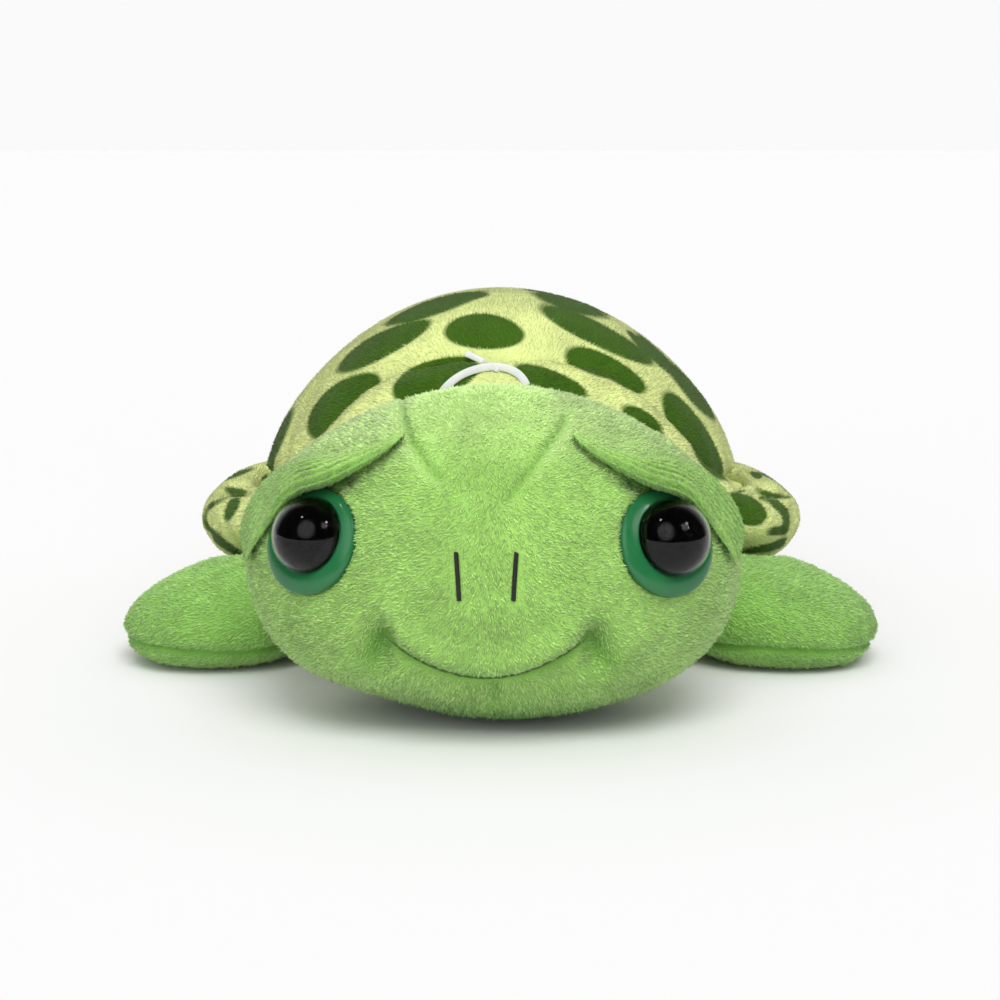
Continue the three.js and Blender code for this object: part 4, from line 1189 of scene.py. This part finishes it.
for name, side in SIDES.items():
    seat, axis = eye_seats[side], eye_axis(side)
    shank = [(0, -13), (1.6, -13), (1.9, -12.6)]
    for rib in range(4):
        low = -12 + 2.2 * rib
        shank += [(1.9, low), (2.4, low + 1), (2.4, low + 1.15), (1.9, low + 1.3)]
    shank = [(r * mm, h * mm) for r, h in shank] + [(1.9 * mm, 0)]
    edge = [(EYE_RADIUS - 0.3 * mm, 0), (EYE_RADIUS, 0.3 * mm), (EYE_RADIUS, EYE_EDGE)]
    slope = dome_profile(EYE_RADIUS, EYE_EDGE, EYE_RISE)[1:]
    lip = [p for p in slope if p[0] > EYE_FLAT]
    base = lathe(f"{name}_eye_base", shank + edge + lip + [(0, lip[-1][1])], seat, axis)
    # both pupils sit a little high and to the same side on their bases
    rise_on_base = Vector((0, 0, 1)) - Vector(axis) * axis[2]
    seat = seat + np.array(rise_on_base) * PUPIL_UP + np.array([PUPIL_ASIDE, 0, 0])
    base.data.materials.append(green_gloss)
    pupil = lathe(
        f"{name}_eye_pupil_dome", [(0, PUPIL_FOOT)] + dome_profile(PUPIL_RADIUS, PUPIL_FOOT, PUPIL_RISE), seat, axis
    )
    pupil.data.materials.append(black_gloss)
    inner = dome_profile(PUPIL_RADIUS + 0.1 * mm, PUPIL_FOOT, PUPIL_RISE + 0.1 * mm)[::-1]
    shell = lathe(
        f"{name}_eye_clear_dome", inner + dome_profile(LENS_RADIUS, PUPIL_FOOT, PUPIL_RISE + 0.4 * mm), seat, axis
    )
    shell.data.materials.append(clear_shell)
    for piece, slot, node in ((base, "eye_green", "back"), (pupil, "eye_black", "pupil"), (shell, "eye_lens", "lens")):
        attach(piece, "head")
        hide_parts(f"{name}_eye_{node}")
    washer = frame["nodes"][f"{name}_eye_washer"]
    washer.data.materials.clear()
    washer.data.materials.append(washer_plastic)

# ---------------------------------------------------------------------------------------------
# Face stitches: each nostril is a bar of black satin stitch, laid side by side across a short
# line. The smile is a row of back stitches in green thread at the bottom of its fold.
# ---------------------------------------------------------------------------------------------
def stitch_tree():
    """Short rounded stitches along a line, each laid along it or across it."""
    sizes = {"Pitch": 0.3 * mm, "Stitch length": 1 * mm, "Thread radius": 0.2 * mm, "Turn": 0.0}
    tree, given = new_tree("stitches", "Line", sizes, "Thread", "Stitches")
    line = new_node(tree, "GeometryNodeMeshToCurve", {"Mesh": given["Line"]})
    even = new_node(tree, "GeometryNodeResampleCurve", {"Curve": line, "Length": given["Pitch"]}, mode="LENGTH")
    ahead = {"Vector": new_node(tree, "GeometryNodeInputTangent")}
    along = new_node(tree, "FunctionNodeAlignRotationToVector", ahead, axis="X")
    outward = {"Rotation": along, "Vector": read_layer(tree, "outward", "FLOAT_VECTOR")}
    upright = new_node(tree, "FunctionNodeAlignRotationToVector", outward, axis="Z", pivot_axis="X")
    angle = maths(tree, "ADD", given["Turn"], random_number(tree, -0.12, 0.12, given["Seed"]))
    spin = new_node(tree, "FunctionNodeEulerToRotation", {0: new_node(tree, "ShaderNodeCombineXYZ", {"Z": angle})})
    turned = new_node(
        tree, "FunctionNodeRotateRotation", {"Rotation": upright, "Rotate By": spin}, rotation_space="LOCAL"
    )
    bead = new_node(tree, "GeometryNodeMeshUVSphere", {"Segments": 7, "Rings": 6, "Radius": 1})
    half = maths(tree, "MULTIPLY", given["Stitch length"], 0.5)
    size = {"X": half, "Y": given["Thread radius"], "Z": given["Thread radius"]}
    size = new_node(tree, "ShaderNodeCombineXYZ", size)
    stand = {"Points": even, "Instance": bead, "Rotation": turned, "Scale": size}
    end_tree(tree, new_node(tree, "GeometryNodeInstanceOnPoints", stand), given["Thread"], "Stitches")
    return tree


stitches = stitch_tree()


def thread_material(name, colour):
    """Twisted thread: a fine diagonal lay, with a soft shine along the crowns of the stitches."""
    material, tree, shader = new_material(name)
    lay = {"Vector": new_node(tree, "ShaderNodeTexCoord", out="Object"), "Scale": 2600, "Distortion": 1.5}
    lay = new_node(tree, "ShaderNodeTexWave", lay, out="Fac", bands_direction="DIAGONAL")
    tone = blended(tree, lay, *(tuple(c * share for c in colour) for share in (0.6, 1.3)))
    give(tree, shader, {"Base Color": tone, "Roughness": 0.5, "Sheen Weight": 0.05})
    return material


def onto_cloth(places, normals):
    """Places on the face's plain form, moved onto the stuffed cloth itself."""
    cloth = surface_of(head)
    start = 6 * mm  # how far in front of the face the search for the cloth begins
    moved = []
    for place, normal in zip(places, normals):
        far = cloth.ray_cast(head_in_row @ Vector(place + start * normal), head_in_row.to_3x3() @ Vector(-normal))[3]
        moved.append(place + (start - far) * normal)
    return np.array(moved)


def stitched(name, line, depth, thread, on_cloth=False, **values):
    """A row of stitches on the face along (x, z) places in millimetres, raised or sunk by depth."""
    line = smooth_line(line, 40) * mm
    normal = face_normal(line[:, 0], line[:, 1])
    places = face_point(line[:, 0], line[:, 1])
    if on_cloth:
        places = onto_cloth(places, normal)
    places = places + normal * depth
    mesh = bpy.data.meshes.new(name)
    mesh.from_pydata(places.tolist(), [(i, i + 1) for i in range(len(places) - 1)], [])
    piece = new_object(name, mesh)
    set_attribute(piece, "outward", normal)
    run_tree(piece, stitches, thread=thread, **values)
    piece.data.transform(head_in_row)
    piece.data.shade_smooth()
    return piece


black_thread = thread_material("black_thread", (0.006, 0.007, 0.005))
green_thread = thread_material("green_thread", (0.06, 0.14, 0.02))
for name, side in SIDES.items():
    bar = stitched(
        f"{name}_nostril_stitch", on_side(NOSTRIL, side), 0.45 * mm, black_thread, on_cloth=True,
        pitch=0.26 * mm, stitch_length=1.0 * mm, thread_radius=0.24 * mm, turn=1.35, seed=21 + side,
    )
    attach(bar, "head")
    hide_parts(f"{name}_nostril")
smile_row = stitched(
    "smile_stitch", MOUTH, -1.1 * mm, green_thread, pitch=2.1 * mm, stitch_length=2.5 * mm,
    thread_radius=0.24 * mm, turn=0.0, seed=25,
)
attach(smile_row, "head")
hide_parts("mouth_thread")

# ---------------------------------------------------------------------------------------------
# Flippers, feet and tail: flat paddles of the green plush, each a top and a bottom panel sewn
# edge to edge and lightly stuffed. They are sewn on under the rim, which they pass clear of.
# ---------------------------------------------------------------------------------------------
ROOT_RADIUS = 3 * mm
SEAM_GAP = 0.35 * mm
LIMB_INSET = 0.7 * mm  # the cover is cut this much smaller than it ends up when it is stuffed
SWELL = 0.45  # share of the length in which a limb widens from its root
# Bearing of the root in degrees and how far the limb flaps up, then millimetres: the height of the
# hinge and of the bend beyond it, the tip, half the width at the root and at the widest, half the
# thickness, how far the bend lies out, and the share of the length after which the limb narrows
LIMBS = {
    "front": dict(
        bearing=-40, flap=8, hinge=12.5, bend=10.5, tip=(82, -46.5, 6.2), root=15, width=23, thick=12.2, lean=15,
        taper=0.42,
    ),
    "rear": dict(
        bearing=47, flap=8, hinge=11, bend=7, tip=(64, 66, 5.4), root=11, width=16, thick=8.5, lean=12, taper=0.42
    ),
    "tail": dict(
        bearing=90, flap=15, hinge=11, bend=8, tip=(0, 95, 5.2), root=9, width=8.5, thick=5.6, lean=12, taper=0
    ),
}


def solid_body(off):
    lift = dome_rings(off, 12)
    return ring_mesh("cutter", [[(0, 0, -off)], *bowl_rings(off, 24), *lift[1:], [(0, 0, DOME_TOP + off)]])


def limb(kind, side):
    """A stuffed paddle, from the rounded root at its hinge to its tip, cut clear of the body."""
    form = LIMBS[kind]
    bearing = math.radians(form["bearing"])
    deep = BODY_FRONT if bearing < 0 else BODY_BACK
    away = np.array([side * math.cos(bearing) / BODY_SIDE, math.sin(bearing) / deep, 0])
    away /= np.linalg.norm(away)
    wall = body_point(np.array([bearing]), np.array([form["hinge"] * mm]), 0)[0] * [side, 1, 1]
    at = wall + away * (ROOT_RADIUS + SEAM_GAP)
    bend = at + away * form["lean"] * mm
    bend[2] = form["bend"] * mm
    tip = np.array(form["tip"]) * mm * [side, 1, 1]
    off = -LIMB_INSET
    fine = np.arange(201)[:, None] / 200
    path = (1 - fine) ** 2 * at + 2 * fine * (1 - fine) * bend + fine**2 * tip
    run = run_of(path)
    angles = full_turn(48)
    root = ROOT_RADIUS + off

    def ring(middle, flow, half, tall):
        across = np.outer(half * signed_power(np.cos(angles), 0.9), [-flow[1], flow[0], 0])
        return middle + across + np.outer(tall * signed_power(np.sin(angles), 0.9), [0, 0, 1])

    rings = [[at - away * root]]
    for share in (0.95, 0.6):
        rings.append(ring(at - away * root * share, away, form["root"] * mm + off, root * arch(share, 2)))
    for t in np.arange(28) / 28:
        u = math.sin(t * QUARTER)
        here = u * run[-1] * (1 + off / run[-1])
        ahead, behind = min(run[-1], here + 0.3 * mm), max(0, here - 0.3 * mm)
        flow = (point_at(path, run, ahead) - point_at(path, run, behind)) * [1, 1, 0]
        flow /= np.linalg.norm(flow)
        half = mix(form["root"] * mm, form["width"] * mm, ease(u / SWELL)) + off
        outline = arch(np.clip((u - form["taper"]) / (1 - form["taper"]), 0, 1), 2.3)
        plump = mix(root, form["thick"] * mm + off, arch(1 - min(1, u / SWELL), 2))
        flat = arch(np.clip((u - SWELL / 2) / (1 - SWELL / 2), 0, 1), 1.9)
        rings.append(ring(point_at(path, run, here), flow, half * outline, plump * flat))
    piece = ring_mesh("limb", [*rings, [point_at(path, run, run[-1] + off)]])
    hinge = Vector(np.cross(away, [0, 0, 1]))
    for flap in (0, math.radians(form["flap"])):
        lifted = Matrix.Translation(at) @ Matrix.Rotation(-flap, 4, hinge) @ Matrix.Translation(-Vector(at))
        for cutter in (solid_body(1.1 * mm), ring_mesh("cutter", rim_rings(1.0 * mm, 12, -2 * mm), wrapped=True)):
            cutter.data.transform(lifted)
            cut = piece.modifiers.new("cut", "BOOLEAN")
            cut.operation = "DIFFERENCE"
            cut.solver = "EXACT"
            cut.object = cutter
            finish_modifiers(piece)
            bpy.data.objects.remove(cutter)

    def held(p):
        return 1 - ease(((p - at) @ away + 1 * mm) / (5 * mm))

    stuff(piece, held, cap=0.9 * mm, voxel=2.4 * mm)

    def from_seam(p):
        """How far above or below the seam that runs round the edge."""
        return np.abs(p[:, 2] - form["thick"] * 0.46 * mm - 0.5 * mm * np.sin(p[:, 0] / (7 * mm)))

    def beyond_root(p):
        return ease(((p - at) @ away - 6 * mm) / (8 * mm))

    def shape(p, n):
        upright = ease((0.8 - np.abs(n[:, 2])) / 0.3)
        pulled = -1.1 * mm * bell(from_seam(p), 0.8 * mm) * upright
        return beyond_root(p) * pulled + 0.3 * mm * ripple(p, 7 * mm, 8 + side)

    press(piece, shape)
    places = places_of(piece)
    places[:, 2] = np.maximum(places[:, 2], 0.3 * mm)
    move_points(piece, places)
    lie = (tip - at) / np.linalg.norm(tip - at) * [1, 1, 0] + np.array([0, 0, -0.25])
    set_attribute(piece, "nap", tangent(np.tile(lie, (len(places), 1)), normals_of(piece)))
    groove = bell(from_seam(places), 0.9 * mm) * beyond_root(places)
    # Painted shade: the whole limb evenly darker, and darker still in the groove along its seam
    set_attribute(piece, "crease", 0.46 + 0.3 * groove)
    set_attribute(piece, "trim", 0.6 * groove)
    piece.data.transform(in_row)
    return piece


paddles = [(kind, *pair) for kind in ("front", "rear") for pair in SIDES.items()] + [("tail", "", 1)]
for kind, word, side in paddles:
    node = {"front": f"front_{word}_flipper", "rear": f"rear_{word}_foot", "tail": "tail"}[kind]
    ride_on = {"front": f"front_{word}_limb", "rear": f"rear_{word}_limb", "tail": "tail_body"}[kind]
    paddle = limb(kind, side)
    paddle.name = f"{node}_plush"
    paddle.data.materials.append(green_plush)
    paddle_pile = grow_pile(
        paddle, f"{node}_pile", green_plush, tufts_per_square_metre=4.6e6, tuft_length=1.0 * mm,
        tuft_width=0.38 * mm, lean=1.6, clump_size=1.3 * mm, clumping=0.9, seed=31 + side,
        keep=lambda p: p[:, 2] > 0.8 * mm,
    )
    for piece in (paddle, paddle_pile):
        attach(piece, ride_on)
    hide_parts(node, f"{node}_filling")

# ---------------------------------------------------------------------------------------------
# Loop of the hang tag: a strap of clear nylon, pierced through the collar behind the crown, with
# its loose end standing up beside it. The tag itself is not on the toy.
# ---------------------------------------------------------------------------------------------
# Places in the picture, and how far in millimetres the strap stands off the collar behind them
LOOP = [
    (438, 398, -1.5), (446, 387, 0.8), (458, 377, 1.6), (472, 370.5, 2.2), (487, 367, 2.4), (502, 367, 2.4),
    (515, 371.5, 1.8), (523, 378.5, 0.9), (530, 392, -1.5),
]
LOOP_END = [(499, 370, 1.3), (489, 365, 2.6), (478, 359, 2.4), (466, 353.5, 1.8)]


def strap(name, line, half_wide, half_thick):
    """A flat strap that follows a line in the picture, held off the shell behind it."""
    places, outs = [], []
    surfaces = [surface_of(rim), surface_of(dome)]
    for px, py, stand in smooth_line(line, 60):
        place, _, ray = surface_behind(surfaces, px, py)
        places.append(np.array(place - ray * stand * mm))
        outs.append(-np.array(ray))
    places, outs = np.array(places), np.array(outs)
    for _ in range(12):
        places[1:-1] = (places[:-2] + places[2:] + 2 * places[1:-1]) / 4
    flow = np.gradient(places, axis=0)
    flow /= np.linalg.norm(flow, axis=1, keepdims=True)
    rings = []
    for place, out, along in zip(places, outs, flow):
        wide_way = np.cross(along, out)
        wide_way /= np.linalg.norm(wide_way)
        thick_way = np.cross(wide_way, along)
        ring = []
        for a in full_turn(16):
            wide, thick = half_wide * signed_power(math.cos(a), 0.6), half_thick * signed_power(math.sin(a), 0.6)
            ring.append(place + wide_way * wide + thick_way * thick)
        rings.append(ring)
    return ring_mesh(name, [[places[0]], *rings, [places[-1]]])


nylon = plastic("clear_nylon", (0.9, 0.92, 0.91), 0.2, clear=0.35)
loop_piece = strap("tag_loop_strap", LOOP, 0.85 * mm, 0.4 * mm)
loose_end = strap("tag_loop_end", LOOP_END, 0.7 * mm, 0.35 * mm)
for piece in (loop_piece, loose_end):
    piece.data.shade_smooth()
    piece.data.materials.append(nylon)
    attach(piece, "shell")
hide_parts("tag_loop")
